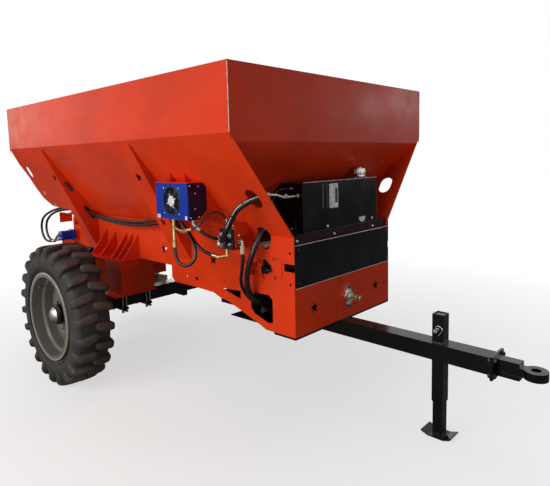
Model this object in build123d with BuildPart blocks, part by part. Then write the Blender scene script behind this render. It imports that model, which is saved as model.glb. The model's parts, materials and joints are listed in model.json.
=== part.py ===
from build123d import *
import os
from math import atan2, cos, degrees, pi, radians, sin, sqrt, tan

# Trailed manure spreader: a steel hopper on a plate chassis with one axle, a chain conveyor on
# the hopper's floor, a rear gate, two horizontal spinner discs, and a drawbar with a drop stand.
# Millimetres. +X forward, +Y to the left, +Z up. Origin on the ground, at the middle of the
# length and width. Distances "behind" are measured rearwards from the hopper's front face.

# ---- driving dimensions ----
hopper_length = 3059
hopper_half_width = 1000
hopper_top = 2162
side_fold = 1801          # height where the upright side band turns into the slanted side
end_fold = 1758           # the same on the front and rear walls
bend_height = 1197        # height where the slanted side turns into the upright chassis side
chassis_half_width = 528
sheet = 4                 # hopper sheet
plate = 6                 # chassis plate
lip = 40                  # folded top edge of the hopper

front_slope_run = 0.866   # rearward run of the front wall for each unit of drop
rear_wall_behind = 2770   # upright foot of the rear wall
rear_wall_top = 1500      # height where the rear slope meets that foot
rear_wall_bottom = 1270

conveyor_shaft_height = 978
front_shaft_behind = 355
rear_shaft_behind = 2820
chain_inner_radius = 52
chain_thickness = 10
slat_height = 20
slat_pitch = 300

axle_behind = 1833
tyre_radius = 530
tyre_width = 283
tyre_outer_plane = 1255
rim_flange_radius = 329

drawbar_half_width = 56
drawbar_height = 98
drawbar_bottom = 475
drawbar_front = 981       # ahead of the hopper's front face
drawbar_behind = 1250
eye_ahead = 1187
eye_radius = 60
eye_bore_radius = 25
eye_height = 522
eye_thickness = 45

stand_ahead = 664
leg_size = 60
sleeve_wall = 4.5
sleeve_bottom = 214
sleeve_top = 745

disc_behind = 3050
disc_gap = 110            # between the two spinner discs
disc_radius = 290
disc_height = 330

pto_height = 734
pto_shaft_radius = 17.5
pto_journal_radius = 20

# ---- clearances ----
running = 0.05            # radial, shaft in bearing
seat_gap = 0.3            # between curved faces of pieces that are not fused
slide_gap = 0.5           # between sliding faces
moving_gap = 6            # between a moving piece and anything it passes

# ---- derived places ----
disc_offset = disc_radius + disc_gap / 2
sleeve_size = leg_size + 2 * (sleeve_wall + slide_gap)
rear_reach = disc_behind + disc_radius
front_reach = eye_ahead + eye_radius
front_x = (rear_reach - front_reach) / 2
slope_angle = atan2(hopper_half_width - chassis_half_width, side_fold - bend_height)
fold_shift = sheet * tan(slope_angle / 2)
floor_top = conveyor_shaft_height + chain_inner_radius
slat_top = floor_top + chain_thickness + slat_height
front_wall_bottom = slat_top + moving_gap

os.makedirs("parts", exist_ok=True)


def behind(distance):
    """X of a place that lies this far behind the hopper's front face."""
    return front_x - distance


def save(sub_part, name):
    sub_part.part.label = name
    export_step(sub_part.part, f"parts/{name}.step")


def side_slope_y(height):
    """Half width of the slanted side's outer face at this height."""
    share = (height - bend_height) / (side_fold - bend_height)
    return chassis_half_width + share * (hopper_half_width - chassis_half_width)


def plane_across(distance):
    """Sketch plane facing forward: sketch x is to the left, sketch y is up."""
    return Plane(origin=(behind(distance), 0, 0), x_dir=(0, 1, 0), z_dir=(1, 0, 0))


def plane_along(offset):
    """Sketch plane facing left at this Y: sketch x is rearwards from the hopper's front."""
    return Plane(origin=(front_x, offset, 0), x_dir=(-1, 0, 0), z_dir=(0, 1, 0))


def outline(*points):
    """Face in the active sketch from its corner points."""
    Polygon(*points, align=None)


def mirrored(sub_part):
    """The same piece on the other side of the middle plane."""
    with BuildPart() as other:
        add(mirror(sub_part.part, about=Plane.XZ))
    return other


def both_sides(sub_part):
    """The piece and its mirror image as two solids of one node."""
    with BuildPart() as pair:
        add(sub_part.part)
        add(mirror(sub_part.part, about=Plane.XZ))
    return pair


def box_between(low, high):
    """Box in the active part from its lowest to its highest corner."""
    size = [b - a for a, b in zip(low, high)]
    middle = [(a + b) / 2 for a, b in zip(low, high)]
    with Locations(tuple(middle)):
        Box(*size)


def star(radius):
    """Five-pointed star cut-out in the active sketch."""
    inner = radius * 0.42
    points = []
    for i in range(10):
        reach = radius if i % 2 == 0 else inner
        angle = radians(90 + 36 * i)
        points.append((reach * cos(angle), reach * sin(angle)))
    outline(*points)


# ---- hopper ----
star_radius = 43
gusset_hole_width = 96
gusset_hole_length = 140
upper_hole = (134, 1435)      # behind, height
lower_hole = (236, 1192)


def hole_on_slope(distance, height):
    """Plane on the right-hand slanted side, its x rearwards and its y up the slope."""
    up_slope = (0, -sin(slope_angle), cos(slope_angle))
    normal = Vector(-1, 0, 0).cross(Vector(*up_slope))
    origin = (behind(distance), -side_slope_y(height), height)
    return Plane(origin=origin, x_dir=(-1, 0, 0), z_dir=normal)


def make_hopper_side():
    """Right side: lip, upright band and slanted side from one bent sheet."""
    wide, low = hopper_half_width, chassis_half_width
    with BuildPart() as side:
        with BuildSketch(plane_across(hopper_length)):
            outline(
                (-wide, hopper_top), (-wide, side_fold), (-low, bend_height),
                (sheet - low, bend_height), (sheet - low, bend_height + fold_shift),
                (sheet - wide, side_fold + fold_shift), (sheet - wide, hopper_top - sheet),
                (lip - wide, hopper_top - sheet), (lip - wide, hopper_top),
            )
        extrude(amount=hopper_length)
        # the slanted side narrows towards the rear outlet
        with BuildSketch(plane_along(0)):
            outline(
                (hopper_length + 1, side_fold), (hopper_length - 150, bend_height - 1),
                (hopper_length + 1, bend_height - 1),
            )
        extrude(amount=-wide, mode=Mode.SUBTRACT)
        for distance, height in (upper_hole, lower_hole):
            with BuildSketch(hole_on_slope(distance, height)):
                SlotOverall(gusset_hole_length, gusset_hole_width, rotation=90)
            extrude(amount=30, both=True, mode=Mode.SUBTRACT)
    return side


def inner_prism(clear=0):
    """Cross-section inside the hopper's side sheets, for walls that run from side to side."""
    wide = hopper_half_width - sheet - clear
    fold = side_fold + fold_shift
    low = chassis_half_width - sheet - clear
    bend = bend_height + fold_shift
    foot = chassis_half_width - plate - clear
    outline(
        (-wide, hopper_top), (-wide, fold), (-low, bend), (-low, bend_height), (-foot, bend_height),
        (-foot, 500), (foot, 500), (foot, bend_height), (low, bend_height), (low, bend),
        (wide, fold), (wide, hopper_top),
    )


def make_end_wall(path):
    """End wall of the hopper: a bent sheet whose side view is path, cut to the sides."""
    with BuildPart() as wall:
        with BuildSketch(plane_along(-hopper_half_width)):
            outline(*path)
        extrude(amount=2 * hopper_half_width)
        with BuildSketch(plane_across(hopper_length)):
            inner_prism()
        extrude(amount=hopper_length, mode=Mode.INTERSECT)
        # the side bands' folded lips take the corners of the top edge
        for side in (-1, 1):
            lip_middle = side * (hopper_half_width - lip / 2)
            with Locations((behind(hopper_length / 2), lip_middle, hopper_top - sheet / 2)):
                Box(hopper_length, lip, sheet, mode=Mode.SUBTRACT)
    return wall


def make_front_wall():
    slope = atan2(front_slope_run, 1)
    shift = sheet * tan(slope / 2)
    drop = end_fold - front_wall_bottom
    foot = drop * front_slope_run
    across = sheet / cos(slope)
    return make_end_wall((
        (0, hopper_top), (lip, hopper_top), (lip, hopper_top - sheet), (sheet, hopper_top - sheet),
        (sheet, end_fold + shift), (foot + across, front_wall_bottom), (foot, front_wall_bottom),
        (0, end_fold),
    ))


def make_rear_wall():
    back, foot = hopper_length, rear_wall_behind
    slope = atan2(back - foot, end_fold - rear_wall_top)
    shift = sheet * tan(slope / 2)
    return make_end_wall((
        (back, hopper_top), (back - lip, hopper_top), (back - lip, hopper_top - sheet),
        (back - sheet, hopper_top - sheet), (back - sheet, end_fold + shift),
        (foot - sheet, rear_wall_top + shift), (foot - sheet, rear_wall_bottom),
        (foot, rear_wall_bottom), (foot, rear_wall_top), (back, end_fold),
    ))


hopper_side_right = make_hopper_side()
save(both_sides(hopper_side_right), "hopper_sides")
save(make_front_wall(), "hopper_front_wall")
save(make_rear_wall(), "hopper_rear_wall")

# ---- chassis side plates ----
chassis_rear = 2900
chassis_low_front = 586
window = ((187, 643), (187, 790), (222, 815), (340, 815), (380, 775), (380, 705), (350, 672), (230, 634))
bearing_slot = (262, 452, 922, 1040)      # behind from, to, height from, to


def make_chassis_side():
    """Right chassis plate, from the bend line down to its stepped lower edge."""
    with BuildPart() as side:
        with BuildSketch(plane_along(-chassis_half_width)):
            outline(
                (0, bend_height), (0, chassis_low_front), (249, chassis_low_front), (315, 612),
                (600, 706), (700, 720), (760, 742), (960, 748), (1220, 748), (1254, 782),
                (1254, 871), (2650, 871), (chassis_rear, 900), (chassis_rear, 1120),
                (2840, bend_height),
            )
        extrude(amount=plate)
        with BuildSketch(plane_along(-chassis_half_width)):
            outline(*window)
            outline((480, 742), (480, 798), (672, 790))
            outline((-1, 987), (-1, 1034), (82, 1034), (82, 987))
            with Locations((948, 814)):
                Circle(16)
            with Locations((1065, 813), (34, 1100), (34, 909)):
                Circle(8)
            for distance, height in ((1343, 986), (752, 976)):
                with Locations((distance, height)):
                    star(star_radius)
            from_front, to_rear, low, high = bearing_slot
            with Locations(((from_front + to_rear) / 2, (low + high) / 2)):
                SlotOverall(to_rear - from_front, high - low)
            with Locations((rear_shaft_behind, conveyor_shaft_height)):
                Circle(40)
        extrude(amount=plate, mode=Mode.SUBTRACT)
        with BuildSketch(hole_on_slope(*lower_hole)):
            SlotOverall(gusset_hole_length, gusset_hole_width, rotation=90)
        extrude(amount=60, both=True, mode=Mode.SUBTRACT)
    return side


chassis_side_right = make_chassis_side()
save(both_sides(chassis_side_right), "chassis_sides")

# ---- side ribs: folded braces from the side band down to the chassis ----
rib_skin = 5
rib_top_gap = 2
rib_foot_depth = 14       # of the rib over the chassis plate at its foot
weld_depth = 1            # how far a cheek reaches into the skin that it is welded to
cheek_blunt = 30          # from a rib's tip down to where its cheeks start
slot_width = 36
middle_rib = (1000, 1170, 955)      # front face behind, rear face behind, foot height
rear_rib = (2380, 2500, 880)
# the rear rib's skin runs on rearwards as a corner brace: (behind, height) down its rear edge
rear_brace_edge = ((3050, 1660), (3000, 1550), (2990, 1450), (2955, 1340), (2850, 1268), (2500, 1240))


def rib_lean(foot):
    """Angle between a rib's skin and the upright."""
    return atan2(hopper_half_width - chassis_half_width - rib_foot_depth, side_fold - foot)


def rib_line(height, foot):
    """Half width of a rib's outer skin at this height: a straight line from band to foot."""
    return chassis_half_width + rib_foot_depth + (height - foot) * tan(rib_lean(foot))


def rib_top(foot):
    """Height where the skin's inner face meets the slanted side."""
    at_bend = rib_line(bend_height, foot) - side_slope_y(bend_height)
    shell = rib_skin / cos(rib_lean(foot)) + seat_gap / cos(slope_angle)
    return side_fold - (side_fold - bend_height) * shell / at_bend - rib_top_gap


def rib_plane(foot):
    """Plane of the right-hand skin's outer face, its x rearwards and its y up along the skin."""
    lean = rib_lean(foot)
    up_skin = (0, -sin(lean), cos(lean))
    inward = Vector(-1, 0, 0).cross(Vector(*up_skin))
    return Plane(origin=(front_x, -rib_line(foot, foot), foot), x_dir=(-1, 0, 0), z_dir=inward)


def make_rib(rib, brace_edge=(), holes=(), stars=(), slots=()):
    """Right-hand rib: a skin and two cheeks, with hose slots through the cheeks."""
    front, rear, foot = rib
    lean = rib_lean(foot)
    top = rib_top(foot)
    shell = rib_skin / cos(lean)

    def on_skin(distance, height):
        return (distance, (height - foot) / cos(lean))

    rear_edge = [(rear, top)]
    rear_cheek_top = top - cheek_blunt
    if brace_edge:
        rear_edge = [(brace_edge[0][0], top), *brace_edge]
        rear_cheek_top = brace_edge[-1][1]
    with BuildPart() as body:
        with BuildSketch(rib_plane(foot)):
            outline(*[on_skin(*point) for point in [(front, foot), (front, top), *rear_edge, (rear, foot)]])
        extrude(amount=rib_skin)
        seat = chassis_half_width + seat_gap
        for distance, cheek_top in ((front + rib_skin, top - cheek_blunt), (rear, rear_cheek_top)):
            with BuildSketch(plane_across(distance)):
                inner = shell - weld_depth
                outline(
                    (inner - rib_line(cheek_top, foot), cheek_top), (inner - rib_line(foot, foot), foot),
                    (-seat, foot), (-seat, bend_height),
                    (-side_slope_y(cheek_top) - seat_gap / cos(slope_angle), cheek_top),
                )
            extrude(amount=rib_skin)
        with BuildSketch(rib_plane(foot)):
            for distance, height, length, width in holes:
                with Locations(on_skin(distance, height)):
                    SlotOverall(length, width, rotation=90)
            for place in stars:
                with Locations(on_skin(*place)):
                    star(star_radius)
        extrude(amount=rib_skin, mode=Mode.SUBTRACT)
        for across, height, length in slots:
            with BuildSketch(plane_across(rear + 1)):
                with Locations((-across, height)):
                    SlotOverall(length, slot_width, rotation=90 + degrees(slope_angle))
            extrude(amount=rear - front + 2, mode=Mode.SUBTRACT)
    return body


middle_rib_right = make_rib(
    middle_rib, stars=((1094, 1557), (1094, 1232)), slots=((641, 1234, 110),),
)
rear_rib_right = make_rib(
    rear_rib, rear_brace_edge, holes=((2915, 1590, 110, 62), (2864, 1390, 40, 24), (2775, 1285, 30, 20)),
    stars=((2440, 1541),), slots=((775, 1462, 110), (604, 1222, 150)),
)
save(both_sides(middle_rib_right), "side_ribs_middle")
save(both_sides(rear_rib_right), "side_ribs_rear")

# ---- floor and chain conveyor ----
inside_half_width = chassis_half_width - plate
chain_offset = 430
chain_width = 30
slat_width = 30
slat_half_length = 500
# from a shaft's middle to where the chain's straight run starts, just clear of the wrapped chain
wrap_gap = sqrt((chain_inner_radius + chain_thickness + seat_gap) ** 2 - chain_inner_radius ** 2)
shaft_radius = 20
floor_thickness = 6


def make_floor():
    span = (front_shaft_behind + 60, rear_shaft_behind - 60)
    with BuildPart() as floor:
        box_between(
            (behind(span[1]), -inside_half_width, floor_top - floor_thickness - seat_gap),
            (behind(span[0]), inside_half_width, floor_top - seat_gap),
        )
    return floor


def make_runs():
    """Upper and lower straight run of the conveyor: two chains and the slats across them."""
    first, last = front_shaft_behind + wrap_gap, rear_shaft_behind - wrap_gap
    count = int((last - first) // slat_pitch) + 1
    with BuildPart() as runs:
        for side in (-1, 1):
            chain_height = conveyor_shaft_height + side * (chain_inner_radius + chain_thickness / 2)
            slat_middle = chain_height + side * (chain_thickness + slat_height) / 2
            for across in (-chain_offset, chain_offset):
                with Locations((behind((first + last) / 2), across, chain_height)):
                    Box(last - first, chain_width, chain_thickness)
            for i in range(count):
                distance = first + slat_width / 2 + i * slat_pitch
                with Locations((behind(distance), 0, slat_middle)):
                    Box(slat_width, 2 * slat_half_length, slat_height)
    return runs


def make_shafts():
    """Front and rear conveyor shafts, each with two sprockets and the chain wrapped on them."""
    places = [(d, conveyor_shaft_height) for d in (front_shaft_behind, rear_shaft_behind)]
    with BuildPart() as shafts:
        with BuildSketch(plane_along(-shaft_end)):
            with Locations(*places):
                Circle(shaft_radius)
        extrude(amount=2 * shaft_end)
        for side in (-1, 1):
            with BuildSketch(plane_along(side * chain_offset - chain_width / 2)):
                with Locations(*places):
                    Circle(chain_inner_radius + chain_thickness)
            extrude(amount=chain_width)
    return shafts


bearing_size = 96
bearing_depth = 34
shaft_end = chassis_half_width + bearing_depth + 14
save(make_floor(), "hopper_floor")
save(make_runs(), "conveyor_runs")
save(make_shafts(), "conveyor_shafts")


def make_bearings():
    """Square flange bearings on the chassis plates; the front pair has chain adjusters."""
    with BuildPart() as bearings:
        for distance, side in ((d, s) for d in (front_shaft_behind, rear_shaft_behind) for s in (-1, 1)):
            face = side * (chassis_half_width + seat_gap)
            with BuildSketch(plane_along(face)):
                with Locations((distance, conveyor_shaft_height)):
                    RectangleRounded(bearing_size, bearing_size, 12)
            extrude(amount=side * bearing_depth / 2)
            with BuildSketch(plane_along(face)):
                with Locations((distance, conveyor_shaft_height)):
                    Circle(bearing_size / 2 - 10)
            extrude(amount=side * bearing_depth)
            with BuildSketch(plane_along(face - side)):
                with Locations((distance, conveyor_shaft_height)):
                    Circle(shaft_radius + running)
            extrude(amount=side * (bearing_depth + 2), mode=Mode.SUBTRACT)
            if distance == front_shaft_behind:
                # the screw that pulls the bearing, the bar that it passes through, and its nut
                bars = ((75, 54, 14, 14), (97, 10, 24, 110), (120, 36, 24, 40))
                for ahead, length, thickness, height in bars:
                    with Locations((behind(distance - ahead), face + side * 12, conveyor_shaft_height)):
                        Box(length, thickness, height)
    return bearings


save(make_bearings(), "shaft_bearings")

# ---- front panels, tank shelf and oil tank ----
panel_split = 885
panel_top = 1140
panel_bend = 30
shelf_height = 1205
shelf_set_back = 18
tank_half_width = 408
tank_top = 1508
tank_front_behind = 25
tank_neck = (behind(tank_front_behind + 70), 300)
neck_height = 16
tank_wall = 5


def make_lower_panel():
    """Front panel with two star cut-outs and the hole of the power shaft."""
    with BuildPart() as panel:
        with BuildSketch(plane_across(plate)):
            outline(
                (-inside_half_width, chassis_low_front), (inside_half_width, chassis_low_front),
                (inside_half_width, panel_split), (-inside_half_width, panel_split),
            )
        extrude(amount=plate)
        with BuildSketch(plane_across(plate)):
            for across in (-345, 350):
                with Locations((across, 733)):
                    star(star_radius)
            with Locations((467, 726)):
                Circle(8)
            with Locations((0, pto_height)):
                Circle(pto_journal_radius + moving_gap)
            with Locations((0, pto_height - bearing_bolts / 2), (0, pto_height + bearing_bolts / 2)):
                Circle(7)
        extrude(amount=plate, mode=Mode.SUBTRACT)
    return panel


def make_upper_panel():
    """Black cover over the conveyor's front shaft, folded back along its top."""
    with BuildPart() as panel:
        with BuildSketch(plane_along(-inside_half_width)):
            outline(
                (0, panel_split), (0, panel_top), (panel_bend, panel_top + 8), (panel_bend, panel_top + 4),
                (sheet, panel_top - 3), (sheet, panel_split),
            )
        extrude(amount=2 * inside_half_width)
    return panel


def front_wall_behind(height):
    """Distance behind the hopper's front face of the front slope's outer face."""
    return (end_fold - height) * front_slope_run


def make_shelf():
    """Shelf between the chassis plates that carries the oil tank."""
    back = front_wall_behind(shelf_height) - seat_gap
    with BuildPart() as shelf:
        with BuildSketch(plane_along(-inside_half_width)):
            outline(
                (shelf_set_back, shelf_height), (back, shelf_height), (back, shelf_height - plate),
                (shelf_set_back + plate, shelf_height - plate), (panel_bend + 6, panel_top + 8 + seat_gap),
                (shelf_set_back + 2, panel_top + 8 + seat_gap),
            )
        extrude(amount=2 * inside_half_width)
    return shelf


def make_tank():
    """Oil tank under the front slope, its back cut to the slope."""
    base = shelf_height + seat_gap
    with BuildPart() as tank:
        for inset in (0, tank_wall):
            back = 8 + 1.6 * inset
            with BuildSketch(plane_along(inset - tank_half_width)):
                outline(
                    (tank_front_behind + inset, base + inset), (tank_front_behind + inset, tank_top - inset),
                    (front_wall_behind(tank_top) - back, tank_top - inset),
                    (front_wall_behind(base) - back, base + inset),
                )
            extrude(amount=2 * (tank_half_width - inset), mode=Mode.SUBTRACT if inset else Mode.ADD)
        with Locations((*tank_neck, tank_top)):
            Cylinder(34, neck_height, align=(Align.CENTER, Align.CENTER, Align.MIN))
    return tank


cap_radius = 36
cap_height = 56


def make_tank_fittings():
    """Filler cap on the tank's neck, and the level gauge on its front."""
    with BuildPart() as fittings:
        with Locations((*tank_neck, tank_top + neck_height)):
            Cylinder(cap_radius, cap_height, align=(Align.CENTER, Align.CENTER, Align.MIN))
        box_between(
            (behind(tank_front_behind), -153, 1342), (behind(tank_front_behind) + 16, -77, 1493),
        )
    return fittings


bearing_bolts = 130
save(make_lower_panel(), "front_lower_panel")
save(make_upper_panel(), "front_cover")
save(make_shelf(), "tank_shelf")
save(make_tank(), "oil_tank")
save(make_tank_fittings(), "tank_fittings")

# ---- power input: flange bearing and splined shaft on the front panel ----
pto_free_length = 78      # of the end that the tractor's joint shaft goes on
pto_shaft_back = 330
pto_bearing_depth = 30
pto_shoulder = pto_bearing_depth + 2


def make_pto_bearing():
    """Two-bolt flange bearing, long way upright, on the front panel."""
    with BuildPart() as bearing:
        with BuildSketch(plane_across(0)):
            with Locations((0, pto_height)):
                Circle(44)
                Rectangle(32, bearing_bolts)
            with Locations((0, pto_height - bearing_bolts / 2), (0, pto_height + bearing_bolts / 2)):
                Circle(16)
            make_hull()
        extrude(amount=14)
        with BuildSketch(plane_across(0)):
            with Locations((0, pto_height)):
                Circle(38)
        extrude(amount=pto_bearing_depth)
        with BuildSketch(plane_across(1)):
            with Locations((0, pto_height)):
                Circle(pto_journal_radius + running)
        extrude(amount=pto_bearing_depth + 2, mode=Mode.SUBTRACT)
        # bolt heads over the flange
        with BuildSketch(plane_across(-14)):
            with Locations((0, pto_height - bearing_bolts / 2), (0, pto_height + bearing_bolts / 2)):
                RegularPolygon(10, 6)
        extrude(amount=9)
    return bearing


def make_pto_shaft():
    """Input shaft: a journal through the bearing and a thinner free end ahead of it."""
    with BuildPart() as shaft:
        with BuildSketch(plane_across(pto_shaft_back)):
            with Locations((0, pto_height)):
                Circle(pto_journal_radius)
        extrude(amount=pto_shaft_back + pto_shoulder)
        with BuildSketch(plane_across(-pto_shoulder)):
            with Locations((0, pto_height)):
                Circle(pto_shaft_radius)
        extrude(amount=pto_free_length)
    return shaft


save(make_pto_bearing(), "pto_bearing")
save(make_pto_shaft(), "pto_shaft")

# ---- pump box: the heavy mass behind the front panel, which the input shaft drives ----
pump_length = 235
pump_half_width = 110
pump_half_height = 90
member_length = 70
member_height = 40


def make_pump_box():
    """Hydraulic pump and gearbox as one block, on a cross member between the chassis plates."""
    front = pto_shaft_back + moving_gap
    middle = pto_height - 15
    with BuildPart() as pump:
        box_between(
            (behind(front + pump_length), -pump_half_width, pto_height - pump_half_height),
            (behind(front), pump_half_width, pto_height + pump_half_height),
        )
        with Locations((behind(front + 100), 0, middle)):
            Box(member_length, 2 * inside_half_width, member_height)
    return pump


save(make_pump_box(), "pump_block")

# ---- axle, its box stands and the wheels ----
wheel_height = tyre_radius
beam_size = 108
beam_half_length = 880
beam_wall = 10
beam_plug = 120           # solid length at each end of the tube, round the stub's root
stub_radius = 30
stub_end = 1180
column_front = 1706
column_rear = 1960
column_outer = 705
column_inner = 400
column_wall = 8
column_plate = 12
top_plate_rear = 2250
column_bottom = wheel_height + beam_size / 2 + column_plate
column_top = 871 - plate


def make_beam():
    """Square axle tube, closed at its ends, with a round stub at each end."""
    hollow = 2 * (beam_half_length - beam_plug)
    with BuildPart() as beam:
        with Locations((behind(axle_behind), 0, wheel_height)):
            Box(beam_size, 2 * beam_half_length, beam_size)
        with BuildSketch(plane_along(-stub_end)):
            with Locations((axle_behind, wheel_height)):
                Circle(stub_radius)
        extrude(amount=2 * stub_end)
        with Locations((behind(axle_behind), 0, wheel_height)):
            Box(beam_size - 2 * beam_wall, hollow, beam_size - 2 * beam_wall, mode=Mode.SUBTRACT)
    return beam


def make_column():
    """Right box stand between axle and chassis: a tube, two plates and upright gussets."""
    across = (column_outer + column_inner) / 2
    depth = column_outer - column_inner
    width = column_rear - column_front
    middle = Vector(behind((column_front + column_rear) / 2), -across, 0)
    with BuildPart() as column:
        with BuildSketch(Plane.XY.offset(column_bottom)):
            with Locations((middle.X, middle.Y)):
                Rectangle(width, depth)
                Rectangle(width - 2 * column_wall, depth - 2 * column_wall, mode=Mode.SUBTRACT)
        extrude(amount=column_top - column_bottom)
        box_between(
            (behind(top_plate_rear), -column_outer - 5, column_top),
            (behind(column_front - 10), -column_inner, column_top + plate),
        )
        box_between(
            (behind(column_rear + 15), -column_outer - 75, column_bottom - column_plate),
            (behind(column_front - 15), -column_inner, column_bottom),
        )
        for distance in (1712, 1800, 1890, 2070, 2230):
            with BuildSketch(plane_across(distance + 4)):
                outline(
                    (-chassis_half_width - seat_gap, column_top + plate),
                    (-chassis_half_width - seat_gap, 1070), (-column_outer + 20, column_top + plate),
                )
            extrude(amount=8)
    return column


def make_clamps():
    """Plates and bolts that clamp the beam under each box stand."""
    half = beam_size / 2
    with BuildPart() as clamps:
        for side in (-1, 1):
            for across in (440, 660):
                middle = behind(axle_behind), side * across
                with Locations((*middle, wheel_height - half - 10)):
                    Box(beam_size + 70, 60, 20)
                for shift in (-half - 18, half + 18):
                    with Locations((middle[0] + shift, middle[1], wheel_height)):
                        Cylinder(9, beam_size)
                    with Locations((middle[0] + shift, middle[1], wheel_height - half - 26)):
                        Cylinder(14, 12)
    return clamps


rim_width = 262
rim_wall = 8
well_radius = 285
disc_plane = 1120          # of the wheel disc, from the middle plane
hub_radius = 78
hub_cap_end = 1213
hub_back = 930
stud_circle = 110
wheel_middle = tyre_outer_plane - tyre_width / 2


def wheel_plane(offset):
    """Sketch plane on the right wheel, centred on the axle, at this distance outwards."""
    return Plane(origin=(behind(axle_behind), -offset, wheel_height), x_dir=(1, 0, 0), z_dir=(0, -1, 0))


def wheel_profile():
    """Plane through the axle line: sketch x is outwards along the axle, sketch y the radius."""
    return Plane(origin=(behind(axle_behind), 0, wheel_height), x_dir=(0, -1, 0), z_dir=(-1, 0, 0))


def axle_line():
    return Axis((behind(axle_behind), 0, wheel_height), (0, -1, 0))


def make_rim():
    """Dished steel rim: flanges, bead seats, a well and a disc with hand holes."""
    inner = wheel_middle - rim_width / 2
    outer = wheel_middle + rim_width / 2
    seat = rim_flange_radius - 24
    flange = 12
    with BuildPart() as rim:
        with BuildSketch(wheel_profile()):
            outline(
                (inner, rim_flange_radius), (inner + flange, rim_flange_radius), (inner + flange, seat),
                (inner + 70, seat), (inner + 85, well_radius), (outer - 85, well_radius),
                (outer - 70, seat), (outer - flange, seat), (outer - flange, rim_flange_radius),
                (outer, rim_flange_radius), (outer, seat - rim_wall), (outer - 74, seat - rim_wall),
                (outer - 89, well_radius - rim_wall), (inner + 89, well_radius - rim_wall),
                (inner + 74, seat - rim_wall), (inner, seat - rim_wall),
            )
        revolve(axis=axle_line())
        with BuildSketch(wheel_profile()):
            outline(
                (disc_plane - 40, well_radius - rim_wall), (disc_plane - 28, well_radius - rim_wall),
                (disc_plane - 28, 240), (disc_plane + 10, 170), (disc_plane + 10, hub_radius + seat_gap),
                (disc_plane, hub_radius + seat_gap), (disc_plane, 164), (disc_plane - 40, 234),
            )
        revolve(axis=axle_line())
    return rim


def make_tyre():
    """Plain tyre body: tread band, shoulders and side walls down to the bead seats."""
    half = tyre_width / 2
    bead = rim_width / 2 - 13
    seat = rim_flange_radius - 24 + seat_gap
    low = rim_flange_radius + 14
    section = (
        (-bead, seat), (bead, seat), (bead, low - 8), (half - 14, low + 20), (half, low + 80),
        (half, tyre_radius - 52), (half - 22, tyre_radius), (22 - half, tyre_radius),
        (-half, tyre_radius - 52), (-half, low + 80), (14 - half, low + 20), (-bead, low - 8),
    )
    with BuildPart() as tyre:
        with BuildSketch(wheel_profile()):
            outline(*[(wheel_middle + across, reach) for across, reach in section])
        revolve(axis=axle_line())
    return tyre


def make_hub():
    """Hub on the stub: a barrel, the flange that the disc is bolted to, and a cap."""
    with BuildPart() as hub:
        with BuildSketch(wheel_profile()):
            outline(
                (hub_back, stub_radius + running), (hub_back, 62), (disc_plane - 16, 62),
                (disc_plane - 16, stud_circle + 25), (disc_plane - seat_gap, stud_circle + 25),
                (disc_plane - seat_gap, hub_radius), (disc_plane + 60, hub_radius),
                (disc_plane + 72, 56), (hub_cap_end - 10, 50), (hub_cap_end, 40), (hub_cap_end, 0),
                (stub_end + 4, 0), (stub_end + 4, stub_radius + running),
            )
        revolve(axis=axle_line())
        with BuildSketch(wheel_plane(disc_plane - seat_gap)):
            with PolarLocations(stud_circle, 8):
                Circle(8)
        extrude(amount=26)
    return hub


def stud_holes(rim):
    """The rim with clearance holes for the hub's studs, and round hand holes."""
    with BuildPart() as drilled:
        add(rim.part)
        with BuildSketch(wheel_plane(disc_plane - 2)):
            with PolarLocations(stud_circle, 8):
                Circle(8 + seat_gap)
        extrude(amount=14, mode=Mode.SUBTRACT)
    return drilled


save(make_beam(), "axle_beam")
save(both_sides(make_column()), "axle_stands")
save(make_clamps(), "axle_clamps")
for name, piece in (("rim", stud_holes(make_rim())), ("tyre", make_tyre()), ("hub", make_hub())):
    save(piece, f"{name}_right")
    save(mirrored(piece), f"{name}_left")

# ---- drawbar, hitch and parking stand ----
drawbar_wall = 8
cross_plate = chassis_low_front - drawbar_bottom - drawbar_height
front_plate_depth = 180
rear_hanger = (580, 700)  # front and rear edges behind
hanger_half_width = 270
upright_width = 20
hanger_bar = (724, 742)   # height of the bar on top of its uprights
belly_height = 612
belly_sheet = 6
end_plate_half = 84
end_plate_height = 132
end_plate_thickness = 14
clevis_front = 1116
clevis_half_width = 34
leg_wall = 5
foot_thickness = 8
foot_flat = 90
foot_wing = 46
foot_rise = 16
foot_half_width = 58
leg_top = 740
pin_height = 655
pin_radius = 7


def drawbar_top():
    return drawbar_bottom + drawbar_height


def make_drawbar():
    """Box tube that the parking stand's sleeve passes through, with its cross plate on top."""
    middle = drawbar_bottom + drawbar_height / 2
    with BuildPart() as bar:
        with BuildSketch(plane_across(drawbar_behind)):
            with Locations((0, middle)):
                Rectangle(2 * drawbar_half_width, drawbar_height)
                Rectangle(
                    2 * (drawbar_half_width - drawbar_wall), drawbar_height - 2 * drawbar_wall,
                    mode=Mode.SUBTRACT,
                )
        extrude(amount=drawbar_behind + drawbar_front)
        with Locations((behind(-stand_ahead), 0, middle)):
            Box(sleeve_size, sleeve_size, drawbar_height + 2, mode=Mode.SUBTRACT)
    return bar


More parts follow.
